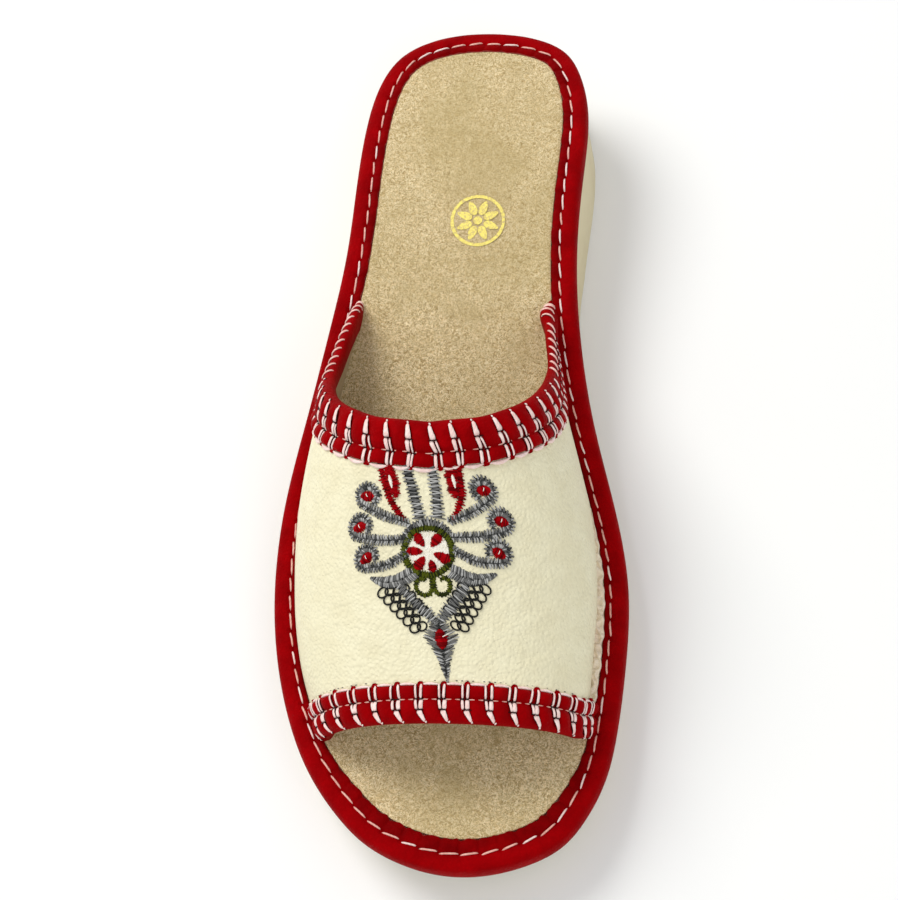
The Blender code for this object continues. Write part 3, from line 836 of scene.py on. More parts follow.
def upper():
    """Vamp wall: creased leather outside, lining inside, rolled under at its feet."""
    across, along = 200, 170
    even = np.linspace(0, 1, across + 1)
    turn = np.pi * (even - 0.45 * np.sin(2 * np.pi * even) / (2 * np.pi))
    share = np.linspace(0, 1, along + 1)
    y = mouth_y(turn)[:, None] * (1 - share) + collar_y(turn)[:, None] * share
    run = np.array([run_of(np.full(row.shape, t), row) for t, row in zip(turn, y)])
    outer, out = dressed(run, y)
    wall = VAMP_WALL * (1 - 0.5 * fade(y + 8 * MM, 20 * MM))
    inner = stand_back(skin(run, y) - out * wall[..., None], run, y)
    feet = [0, -1]
    for sheet in (outer, inner):
        seated(sheet)
        sheet[feet, :, 2] = top(sheet[feet, :, 1]) - TUCK
    faces = shell_faces(across + 1, along + 1, False)
    indices = np.repeat([0, 1, 0, 0, 0, 0], [len(rows) for rows in faces])
    points = np.concatenate([outer, inner]).reshape(-1, 3)
    piece = add_mesh("vamp", points, faces, [CREAM, LINING], None, indices, True)
    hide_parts("upper")


def vamp_margin():
    """Puckered strip at the vamp's inner foot that lies out over the lip, with a cut edge."""
    rows, columns = 420, 22
    y = np.linspace(-87.5, -24.5, rows)[:, None] * MM
    share = np.linspace(0, 1, columns)[None, :]
    _, foot = foot_lines(y[:, 0])
    wide = margin(y)
    fray = 0.16 * MM * (np.sin(y * 700) + np.sin(y * 1430 + 1.7)) * np.clip(wide / (2 * MM), 0.2, 1)
    x = foot[:, None] - wide - 0.7 * MM + (wide + 1.0 * MM + fray) * share
    along = y / MM
    fold = (np.sin(share * 11 + 2.6 * np.sin(along * 0.95 + 2 * share) + 0.20 * along)
            + 0.9 * np.sin(share * 5 + along * 1.9 + 2.0 * np.sin(along * 0.47))
            + 0.6 * np.sin(along * 3.7 + 4 * share + 1.5 * np.sin(along * 0.8)))
    swell = np.sin(np.pi * share) ** 0.6
    height = (0.60 + 0.25 * share + 0.22 * fold * swell - 0.45 * hump(share - 0.24, 0.08)
              - 0.5 * fade(share - 0.9, 0.1) ** 2 + 1.2 * np.clip(1 - share / 0.20, 0, 1) ** 2)
    over = np.stack(np.broadcast_arrays(x, y, top(y) + height * MM), axis=-1)
    under = over.copy()
    under[..., 2] = top(y) - 0.3 * MM
    points = np.concatenate([over, under]).reshape(-1, 3)
    faces = shell_faces(rows, columns, True)
    piece = add_mesh("vamp_margin", points, faces, [PUCKERED], closed=True)


# Bindings

def edge_band(edge_y, heelward, count=120, steps=20):
    """Lines square to an edge of the vamp: points and outward ways, by place and distance back."""
    turn = np.linspace(0, np.pi, 1201)
    along = lengths_along(vamp(turn, edge_y(turn)))
    turns = np.interp(np.linspace(0, along[-1], count), along, turn)
    y = edge_y(turns)
    run = run_of(turns, y)
    ahead = np.gradient(skin(run, y), axis=0)
    stride = BINDING_REACH / steps
    spots, outs = [], []

    def dot(a, b):
        return (a * b).sum(1)
    away = None
    for _ in range(steps + 1):
        round_it, along_it, out = skin_frame(run, y)
        if away is None:
            away = np.cross(out, ahead)
            away *= (np.sign(away[:, 1]) * heelward)[:, None]
        away = unit(away - out * dot(away, out)[:, None])
        spots.append(skin(run, y))
        outs.append(out)
        rr, aa, ra = dot(round_it, round_it), dot(along_it, along_it), dot(round_it, along_it)
        wr, wa = dot(away, round_it), dot(away, along_it)
        det = rr * aa - ra ** 2
        run = run + stride * (aa * wr - ra * wa) / det
        y = y + stride * (rr * wa - ra * wr) / det
    return {"length": along[-1], "spots": np.array(spots).transpose(1, 0, 2),
            "outs": np.array(outs).transpose(1, 0, 2)}


def band_at(band, s, back, proud):
    """Points by place along an edge, distance back and height over it, and the outward way."""
    s, back, proud = np.broadcast_arrays(*(np.asarray(value, float) for value in (s, back, proud)))
    spots = band["spots"]
    count, steps = spots.shape[:2]
    inside = np.clip(s, 0, band["length"])
    row = inside / band["length"] * (count - 1)
    column = np.clip(back / BINDING_REACH * (steps - 1), 0, steps - 1.001)
    out = unit(look_up(band["outs"], row, column))
    i = np.minimum(row.astype(int), count - 2)
    t = (row - i)[..., None]
    first = spots[:, 1] - spots[:, 0]
    way = unit(first[i] * (1 - t) + first[i + 1] * t)
    spot = (look_up(spots, row, column) + way * np.minimum(back, 0)[..., None]
            + out * proud[..., None])
    past = (s - inside)[..., None]
    ends = unit(np.array([spots[0, 0] - spots[2, 0], spots[-1, 0] - spots[-3, 0]]))
    return spot + np.where(past > 0, ends[1], ends[0]) * np.abs(past), out


def stitch_places(length, pitch, end_pitch, turn_in, shift, outer=1.5 * MM, inner=1.5 * MM):
    """Places of whip stitches from the middle outward, closer together toward the ends."""
    places = []
    for way in (1, -1):
        s = shift if way > 0 else shift - pitch
        while outer < length / 2 + s < length - inner:
            places.append(length / 2 + s)
            s += way * (pitch + (end_pitch - pitch) * fade(abs(s) - turn_in, 18 * MM))
    return np.sort(np.array(places))


# Folded strip round a vamp edge: distance back and height out of the vamp, in millimetres
FOLD = (
    (10.45, 0.05), (10.62, 0.45), (10.2, 1.0), (9.3, 1.32), (8.2, 1.22), (7.3, 0.85), (6.75, 0.42),
    (6.2, 0.85), (5.2, 1.38), (3.8, 1.58), (2.2, 1.60), (0.8, 1.48), (-0.4, 1.15), (-1.2, 0.45),
    (-1.55, -0.55), (-1.5, -1.55), (-0.95, -2.55), (0.1, -3.2), (1.6, -3.45), (3.8, -3.4),
    (5.8, -3.1), (6.0, -2.6), (5.6, -2.35), (3.0, -2.3), (0.6, -2.3), (-0.45, -2.2), (-0.5, 0.2),
    (1.0, 0.3), (4.0, 0.3), (7.0, 0.25), (9.4, 0.15),
)


OVERRUN = 0.6 * MM            # how far the strips run past the ends of their edge
NUB = 4.4 * MM                # how far the collar's strip runs on at its inner end
NUB_CLOSE = (                 # millimetres before the edge's inner end, share of the strip's size
    (-4.4, 0.10), (-3.6, 0.26), (-1.0, 0.40), (1.5, 0.74), (4.0, 1.0))
# Thickness of the collar's strip by share of its length, from the outer wing to the inner one
COLLAR_THICKNESS = (
    (0.00, 0.50), (0.03, 0.66), (0.10, 0.76), (0.20, 0.86), (0.30, 1.00), (0.66, 1.00),
    (0.76, 0.80), (0.84, 0.56), (0.92, 0.58), (0.96, 0.86), (0.985, 0.90), (1.00, 0.60))


def wing(s, length):
    """1 on the collar's wings and 0 along its front."""
    return fade(np.abs(s / length - 0.5) - 0.24, 0.10)


def bulge(s, length):
    """How far the collar's inner wing swells over the footbed near its end."""
    return 1.5 * MM * hump(length - s - 8.3 * MM, 3.4 * MM)


# Height of threads over the folded strip, by distance back, in millimetres
FOLD_TOP = (
    (-1.5, 0.1), (-0.9, 0.75), (-0.4, 1.05), (0.8, 1.25), (2.2, 1.3), (5.2, 1.1), (6.2, 0.7),
    (6.75, 0.4), (7.3, 0.75), (9.3, 1.0), (10.3, 0.85), (11.2, 0.3))


# Distance back on the collar's strip, the same place on the toe's, in millimetres
TOE_STRIP = ((-1.6, -0.85), (6.75, 5.35), (12.0, 10.5))


def squeeze(back, narrow):
    """Distance back on the toe's narrower strip for a distance on the collar's."""
    if not narrow:
        return back
    return straight(np.array(TOE_STRIP) * MM, back)


def binding(name, band, places, nib, node_name, lean, narrow):
    """Folded leather strip, pinched at each whip stitch, with a nib at its far edge there."""
    length = band["length"]
    past = OVERRUN if narrow else NUB
    s = np.linspace(-OVERRUN, length + past, int(length / (0.30 * MM)))
    section = smooth_line(FOLD, 74, True) * MM
    gap = np.diff(places).mean()
    off = s[:, None] - places
    off = off[np.arange(len(s)), np.abs(off).argmin(axis=1)][:, None]
    back, proud = (np.tile(section[:, k], (len(s), 1)) for k in (0, 1))
    side = off - lean(back)
    face = (proud > 0.35 * MM) & (back > -0.5 * MM)
    pinch = hump(side, 1.25 * MM) * fade(back + 0.5 * MM, 1.2 * MM)
    swell = 0.34 * MM * np.cos(2 * np.pi * np.clip(side / gap, -0.5, 0.5))
    proud -= np.where(face, 0.52 * MM * pinch + swell * fade(back, 2 * MM), 0)
    far = fade(back - 9.3 * MM, 1.2 * MM)
    tip = np.exp(-((off - nib - narrow * far * 0.5 * MM) / (0.85 * MM)) ** 4)
    back += far * (1.10 * MM * tip - 0.30 * MM)
    proud += far * 0.32 * MM * tip
    back = squeeze(back, narrow)
    if not narrow:
        back, proud = shape_collar(s[:, None], back, proud, length)
    points, _ = band_at(band, s[:, None], back, proud)
    points[..., 2] += 0.55 * np.clip(s - length, 0, None)[:, None]
    size = len(section)
    ends = [np.arange(size)[None, :], ((len(s) - 1) * size + np.arange(size))[None, ::-1]]
    piece = add_mesh(name, seated(points).reshape(-1, 3),
                     [grid_faces(len(s), size, True)] + ends, [RED], closed=True)
    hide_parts(node_name)


def band_paths(band, places, back0, back1, s0, s1, lift, narrow, steps=8):
    """Threads laid over a binding at each stitch place, in millimetres from it."""
    t = np.linspace(0, 1, steps)
    back = (back0 + (back1 - back0) * t) * MM
    off = (s0 + (s1 - s0) * t) * MM
    wobble = [rng.normal(0, size * MM, (len(places), 1)) for size in (0.10, 0.12)]
    s = places[:, None] + off[None, :] + (wobble[0] + wobble[1] * t)
    if not narrow:
        on_wing = wing(s, band["length"])
        s = s - np.sign(s - band["length"] / 2) * on_wing * 0.5 * np.clip(back, 0, 4 * MM)
    ends = np.abs(2 * t - 1) ** 6
    rise = straight(FOLD_TOP, back / MM)
    shift = np.broadcast_to(squeeze(back, narrow), s.shape)
    rise = np.broadcast_to(rise, s.shape)
    if not narrow:
        shift = shift - 1.1 * MM * on_wing - bulge(s, band["length"])
        rise = rise - on_wing * straight(((-0.4, 0.75), (0.4, 0.35), (1.2, 0.0)), back / MM)
    lift_line = lift * (1 - ends) - 0.12 * ends
    points, out = band_at(band, s, shift, (rise + lift_line) * MM)
    return seated(points), out


# Whip stitch of each binding, in millimetres: back from and to, along from and to,
# half width from and to. Along is from the stitch place toward the inner side.
COLLAR_WHIP = (
    (-0.40, 3.42, -0.20, 0.45, 0.40, 0.80),
    (3.72, 6.80, 0.15, 0.75, 0.56, 0.40),
    (3.80, 6.98, 1.30, 2.05, 0.29, 0.22),
    (7.15, 10.5, 0.95, 0.95, 0.40, 0.42),
    (7.15, 10.4, 2.15, 2.10, 0.27, 0.29),
)
TOE_WHIP = (
    (3.05, -0.75, 0.25, 1.75, 0.74, 0.36),
    (6.65, 3.40, -0.60, -0.20, 0.33, 0.37),
    (6.65, 3.40, 0.70, 0.80, 0.50, 0.55),
    (10.6, 7.05, -0.80, -0.75, 0.27, 0.29),
    (10.6, 7.05, 0.75, 0.72, 0.33, 0.35),
)


# Strokes over the ends of the collar's strip, in millimetres: from the inner end (or, if
# negative, the outer end), shares of the way round the fold, slant, half width
TIP_STROKES = (
    (-1.4, 0.22, 0.92, 1.0, 0.62), (-5.4, 0.20, 0.92, 1.1, 0.46), (-8.8, 0.18, 0.82, 1.3, 0.38),
    (2.4, 0.22, 0.96, 0.3, 0.85), (7.4, 0.20, 0.95, 0.6, 0.42), (10.6, 0.18, 0.84, 0.8, 0.34))
# Outer side of the fold: share of the way round it, back, out of the vamp, in millimetres
FOLD_EDGE = (
    (0.0, 3.0, 1.60), (0.17, 0.9, 1.50), (0.34, -0.5, 1.12), (0.50, -1.35, 0.1),
    (0.66, -1.55, -1.1), (0.82, -1.05, -2.45), (1.0, 0.6, -3.3))


def shape_collar(s, back, proud, length):
    """Thins the collar's strip along its wings, closes it at its ends and bulges its inner wing."""
    outer_end = np.sqrt(1 - (1 - np.clip((s + OVERRUN) / (3.4 * MM), 0.02, 1)) ** 2)
    inner_end = straight(NUB_CLOSE, (length - s) / MM)
    close = np.minimum(outer_end, inner_end)
    proud = 1.2 * MM + (proud - 1.2 * MM) * curve(COLLAR_THICKNESS, 1, s / length)
    back = 1.5 * MM + (back - 1.5 * MM) * close - bulge(s, length)
    return back, -0.5 * MM + (proud + 0.5 * MM) * close


def over_fold(band, places, share0, share1, slant, lift=0.16, steps=8):
    """Threads across the collar's fold at each place, between two shares of the way round it."""
    t = np.linspace(0, 1, steps)
    share = share0 + (share1 - share0) * t
    length = band["length"]
    s = places[:, None] + np.sign(places - length / 2)[:, None] * slant * MM * t[None, :]
    s = s + rng.normal(0, 0.10 * MM, (len(places), 1))
    along = [curve(FOLD_EDGE, k, share + 0.02) - curve(FOLD_EDGE, k, share - 0.02) for k in (1, 2)]
    size = np.hypot(*along)
    spots = []
    for rise in (lift * (1 - np.abs(2 * t - 1) ** 6), lift + 0.3):
        back = curve(FOLD_EDGE, 1, share) + along[1] / size * rise
        proud = curve(FOLD_EDGE, 2, share) - along[0] / size * rise
        back, proud = shape_collar(s, back * MM + 0 * s, proud * MM + 0 * s, length)
        spots.append(band_at(band, s, back, proud)[0])
    ups = unit(spots[1] - spots[0])
    return seated(spots[0]), ups


def whip_stitches(name, band, places, table, nib, tie, knot, narrow):
    """All threads of one binding: flat stitches, ties, groove thread, knots, edge lenses and dark
    under-threads that are painted shadow round them.
    """
    white, dark, under, pink, pale = ([] for _ in range(5))
    length = band["length"]
    t = np.linspace(0, 1, 8)
    ends = 1 - 0.3 * np.abs(2 * t - 1) ** 12
    belly = np.sin(np.pi * t)

    # Each laid thread gets a wider dark under-thread just below it: painted shadow round the stitch
    def lay(batch, paths, ups, wide, high, shadow_wide, shadow_high=0.16 * MM * ends, drop=0.15 * MM):
        batch.append((paths, ups, wide, high, 8))
        under.append((paths - ups * drop, ups, shadow_wide, shadow_high, 8))
    folded = np.zeros(len(places), bool) if narrow else wing(places, length) > 0.45
    for back0, back1, s0, s1, half0, half1 in table:
        spots = places[~folded] if back0 == COLLAR_WHIP[0][0] else places
        paths, ups = band_paths(band, spots, back0, back1, s0, s1, 0.18, narrow)
        wide = (half0 + (half1 - half0) * t) * ends * MM
        if not narrow:
            on_wing = wing(spots, length)[:, None]
            wide = wide * (1 - on_wing) + on_wing * (0.24 + 0.16 * belly) * MM
        lay(white, paths, ups, wide, 0.21 * MM * ends, wide + 0.17 * MM)
    for back, s0, s1 in tie:
        paths, ups = band_paths(band, places, back, back, s0, s1, 0.38, narrow)
        dark.append((paths, ups, 0.15 * MM * ends, 0.13 * MM, 6))
    back, s0 = knot
    front = places if narrow else places[wing(places, length) < 0.3]
    paths, ups = band_paths(band, front, back - 0.25, back + 0.25, s0 - 0.1, s0 + 0.1, 0.2, narrow)
    ball = MM * np.sqrt(np.clip(1 - (2 * t - 1) ** 2, 0.05, 1))
    lay(white, paths, ups, 0.27 * ball, 0.26 * ball, 0.42 * ball, 0.2 * MM, 0.1 * MM)
    strokes = [(places[folded], 0.17, 0.66, 1.6, 0.40)]
    for end, *shape in TIP_STROKES:
        strokes.append((np.array([length - end * MM if end > 0 else -end * MM]), *shape))
    for spots, share0, share1, slant, half in [] if narrow else strokes:
        paths, ups = over_fold(band, spots, share0, share1, slant)
        wide = half * (0.5 + 0.5 * belly)
        lay(pale, paths, ups, wide * MM, 0.24 * MM * ends, (wide + 0.15) * MM)
    gaps = np.diff(places)[:, None]
    arc, rise, half = (10.55, 0.20, 0.38) if narrow else (10.72, 0.42, 0.56)
    lens = np.sin(np.pi * np.clip(t, 0.05, 0.95)) ** 0.8 * MM
    for batch, start, run, back, proud, wide, high, sides in (
            (white, 0.5 * MM, gaps - MM, arc + rise * belly, 0.45, half * lens, 0.36 * lens, 8),
            (pink, 0.18 * gaps, 0.60 * gaps, 6.72 + 0 * t, 0.62, 0.16 * MM, 0.14 * MM, 6)):
        s = places[:-1, None] + nib + start + run * t
        back = np.broadcast_to(squeeze(back * MM, narrow), s.shape)
        points, ups = band_at(band, s, back, proud * MM)
        batch.append((seated(points), ups, wide, high, sides))
    # the under threads are painted shadow round the stitches
    for label, batches, colour in (("white", white, "white"), ("dark", dark, "dark"),
                                   ("under", under, "under"), ("groove", pink, "seam"),
                                   ("fold", pale, "rose")):
        if batches:
            piece = add_threads(name + "_" + label, batches, colour)


def needle_line(band):
    """Row of old needle holes in the vamp just beyond the toe's strip, drawn as grey dots of
    painted shade.
    """
    s = np.arange(9 * MM, band["length"] - 9 * MM, 1.35 * MM)
    s = s[np.sin(s * 130) + 0.5 * rng.normal(size=len(s)) > -0.1][:, None]
    s = s + np.linspace(-0.22, 0.22, 5) * MM
    points, ups = band_at(band, s, squeeze(np.full(s.shape, 11.55 * MM), True), 0.02 * MM)
    piece = add_threads("needle_line", [(points, ups, 0.12 * MM, 0.07 * MM, 6)], "grey")


def bindings():
    """Folded strips of the collar and the toe opening, and their threads."""
    collar, mouth = edge_band(collar_y, -1), edge_band(mouth_y, 1)
    collar_places = stitch_places(collar["length"], 5.55 * MM, 3.6 * MM, 42 * MM, 1.0 * MM,
                                  11.4 * MM, 13.2 * MM)
    mouth_places = stitch_places(mouth["length"], 5.8 * MM, 4.6 * MM, 30 * MM, -1.2 * MM)
    nib = 1.6 * MM
    binding("collar_trim", collar, collar_places, nib, "collar_binding",
            lambda back: fade(back, 6 * MM) * 1.3 * MM, False)
    binding("toe_trim", mouth, mouth_places, 0.0, "toe_binding",
            lambda back: np.clip(1 - back / (5 * MM), 0, 1) * MM, True)
    ties = ((3.55, -0.45, 1.85), (6.95, 0.40, 1.30), (7.05, 1.90, 2.60))
    whip_stitches("collar_stitches", collar, collar_places, COLLAR_WHIP, nib, ties,
                  (-0.75, -0.25), False)
    ties = ((3.25, -0.65, 1.45), (6.85, -1.10, 1.25))
    whip_stitches("toe_stitches", mouth, mouth_places, TOE_WHIP, 0.0, ties, (-0.95, 2.05), True)
    needle_line(mouth)


# Embroidery

ORNAMENT_X = -1.2 * MM        # ring's centre on the vamp
ORNAMENT_Y = -53.1 * MM
ORNAMENT_SLOPE = 0.934        # y that one millimetre along the vamp's crown takes
SKEW = 0.035                  # how much higher the inner half was sewn
# Hand-laid axis: along from the ring's centre, across, in millimetres
AXIS = (
    (-34.0, 3.3), (-23.0, 2.5), (-17.0, 1.8), (-9.0, 1.0), (0.0, 0.8), (8.0, 0.5), (15.5, -0.3),
    (20.0, -1.1), (24.0, -1.6))


def ornament(a, b, lift):
    """Point on the vamp at millimetres across from the axis and along from the ring's centre."""
    a, b = np.broadcast_arrays(np.asarray(a, float), np.asarray(b, float))
    across = (a + curve(AXIS, 1, b)) * MM
    along = (b + SKEW * a) * MM
    y = ORNAMENT_Y + along * ORNAMENT_SLOPE
    centre = RING_RUN + (crown_run(y) - crown_run(ORNAMENT_Y))
    return dressed(centre + across, y, np.asarray(lift) * MM)


def ring_run():
    """Run of the ring's centre from the outer foot."""
    row = int(round((ORNAMENT_Y - CHART_Y[0]) / MM))
    inside = (CHART_RUN > 0) & (CHART_RUN < CHART_LENGTHS[row, -1])
    return np.interp(ORNAMENT_X, CHART[row, inside, 0], CHART_RUN[inside])


RING_RUN = ring_run()


def laid_threads(starts, stops, lift, half=0.19, sink=0.12, steps=7):
    """Threads from starts to stops on the vamp, arched by a lift; all in ornament millimetres."""
    starts, stops = (np.asarray(line, float)[:, None] for line in (starts, stops))
    t = np.linspace(0, 1, steps)
    path = starts * (1 - t[:, None]) + stops * t[:, None]
    arch = 1 - np.abs(2 * t - 1) ** 3.0
    lifts = np.reshape(lift, (-1, 1)) * arch - sink * (1 - arch)
    points, ups = ornament(path[..., 0], path[..., 1], lifts)
    thick = half * MM * (1 - 0.35 * np.abs(2 * t - 1) ** 4)
    return points, ups, thick, thick * 0.8, 6


def path_frame(path, pitch):
    """Even steps on a path, with the way ahead and to the side."""
    path = np.asarray(path, float)
    along = lengths_along(path)
    places = np.linspace(0, along[-1], max(int(along[-1] / pitch), 2))
    points = np.column_stack([np.interp(places, along, path[:, k]) for k in (0, 1)])
    ahead = unit(np.gradient(points, axis=0))
    return places / along[-1], points, ahead, np.column_stack([ahead[:, 1], -ahead[:, 0]])


def satin(path, widths, pitch=0.46, lift=0.42, ragged=0.14, slant=0.0, half=0.19):
    """Zigzag of threads across a path. widths are (share of the path, half width) rows."""
    share, points, ahead, side = path_frame(path, pitch)
    width = straight(widths, share)
    n = len(share)
    left, right = (width * (1 + ragged * rng.normal(size=n)) for _ in range(2))
    shift = np.where(np.arange(n) % 2, 1.0, -1.0)[:, None] * pitch * 0.5
    shift = shift + rng.normal(0, 0.05, (n, 1))
    a = points - side * left[:, None] + ahead * (shift + slant * left[:, None])
    b = points + side * right[:, None] - ahead * (shift - slant * right[:, None])
    return laid_threads(a, b, lift * np.clip(width / 1.2, 0.5, 1.1), half)


def barbs(path, widths, pitch=0.76, lift=0.42, ragged=0.06, sweep=0.30, half=0.17):
    """Teeth on both sides of a path: two threads each, apart at the path and joined at the tip."""
    share, points, ahead, side = path_frame(path, pitch)
    width = straight(widths, share)
    n = len(share)
    starts, stops = [], []
    for way in (-1, 1):
        reach = (width * (1 + ragged * rng.normal(size=n)))[:, None]
        shift = ahead * (0.25 * pitch * way + rng.normal(0, 0.02, (n, 1)))
        for leg in (-1, 1):
            starts.append(points - side * way * 0.15 + shift + ahead * leg * 0.27 * pitch)
            stops.append(points + side * way * reach
                         + ahead * (sweep * reach + leg * 0.09 * pitch) + shift)
    lifts = lift * np.clip(np.tile(width, 4) / 1.2, 0.5, 1.1)
    return laid_threads(np.vstack(starts), np.vstack(stops), lifts, half)


def shadow_underlay(path, widths, share_of_width=0.62, lift=0.05):
    """Flat dark underlay along a path, seen between the threads: painted shadow."""
    _, points, _, _ = path_frame(path, 0.4)
    width = straight(widths, np.linspace(0, 1, len(points))) * share_of_width
    spots, ups = ornament(points[None, :, 0], points[None, :, 1], np.full((1, len(points)), lift))
    return spots, ups, (width * MM)[None], 0.14 * MM, 8


def heading(angle):
    """Unit steps across and along at an angle in degrees."""
    angle = np.radians(angle)
    return np.array([np.cos(angle), np.sin(angle)])


def arc_path(centre, radius, start, stop, squash=1.0, count=60):
    """Arc about a centre between two angles in degrees."""
    x, y = heading(np.linspace(start, stop, count))
    return np.column_stack([centre[0] + radius * x, centre[1] + radius * squash * y])


def fill(centre, half_long, half_wide, angle, taper=0.0, pitch=0.36, lift=0.42, ragged=0.07):
    """Threads side by side that fill a rounded leaf; its long axis is at an angle in degrees."""
    way = heading(angle)
    side = np.array([way[1], -way[0]])
    t = np.arange(-half_long, half_long + 1e-6, pitch)
    oval = np.sqrt(np.clip(1 - (t / half_long) ** 2, 0.05, 1))
    width = half_wide * oval * (1 + taper * t / half_long)
    middle = np.asarray(centre) + way * t[:, None]
    left, right = (side * (width * (1 + ragged * rng.normal(size=len(t))))[:, None]
                   for _ in range(2))
    return laid_threads(middle - left, middle + right + way * pitch * 0.3, np.full(len(t), lift))


def mirrored(rows, way):
    return np.asarray(rows, float) * np.array([way, 1.0])


def bent(rows, way, count=60):
    """Soft curve through rows, mirrored by a way of -1."""
    return smooth_line(mirrored(rows, way), count)


# Feathers of one side: eye across and along, root across and along, bow of the stem,
# all in ornament millimetres
FEATHERS = (
    (15.3, 15.6, 5.2, 7.3, -0.7),
    (18.7, 8.0, 5.6, 3.4, -0.8),
    (17.4, -0.2, 5.6, 0.3, -1.3),
)
EYE_LOOP = 2.65               # radius of a stem's hook round its eye
EYE_TURN = 285                # degrees that the hook goes round it
# Petals in the ring: angle in degrees, distance from the centre, half length, half width
PETALS = (
    (124, 3.5, 1.85, 1.40), (50, 3.4, 1.85, 1.50), (177, 3.4, 1.95, 1.40), (232, 3.6, 1.85, 1.55),
    (283, 3.8, 1.45, 1.25), (336, 3.9, 2.20, 1.60))
# Tail under the ring: along from the ring's centre, half width, in millimetres
TAIL = ((17.2, 1.0), (19, 2.8), (21.6, 5.0), (24, 3.5), (27, 2.1), (30, 1.25), (33.4, 0.25))
RING_CENTRE = (-0.8, 0.0)
RING_RADIUS = 6.2
LATTICE_START = (13.3, -9.6)  # outermost loop of the net
LATTICE_STEP = (-1.42, -1.92)


def feather(way, eye_a, eye_b, root_a, root_b, bow):
    """Stem that runs up round a red eye and hooks back, for two rows of barbs: path and widths."""
    eye, root = np.array([eye_a, eye_b]), np.array([root_a, root_b])
    ahead = unit(eye - root)
    under = np.array([ahead[1], -ahead[0]])
    aim = np.degrees(np.arctan2(under[1], under[0]))
    loop = arc_path(eye, EYE_LOOP, aim, aim + EYE_TURN)
    middle = (root + loop[0]) / 2 + under * -bow
    stem = smooth_line([root, middle, loop[0]], 40)
    path = np.vstack([stem[:-1], loop])
    lengths = lengths_along(path)
    join = lengths[len(stem) - 1] / lengths[-1]
    widths = ((0, 1.25), (join * 0.6, 1.5), (join, 1.35), (0.93, 1.3), (1, 0.9))
    return mirrored(path, way), widths, aim


def lattice(way):
    """Net of overlapping thread loops between an arm and the outer line."""
    loops = []
    outward, along = np.array([0.79, -0.62]), np.array([-0.62, -0.79])
    t = np.radians(np.linspace(-20, 340, 19))
    for k in range(6):
        spot = np.array(LATTICE_START) + k * np.array(LATTICE_STEP)
        for deep in range(4 if k < 5 else 2):
            centre = spot - outward * (1.62 * deep) + along * (0.95 * (deep % 2))
            half = 1.18 if deep == 0 else 1.05
            path = mirrored(centre + outward * (1.28 * half * np.cos(t))[:, None]
                            + along * (0.98 * half * np.sin(t))[:, None], way)[None]
            lift = 0.20 + 0.10 * np.cos(t + deep)
            points, ups = ornament(path[..., 0], path[..., 1], lift[None])
            loops.append((points, ups, 0.23 * MM, 0.20 * MM, 6))
    return loops


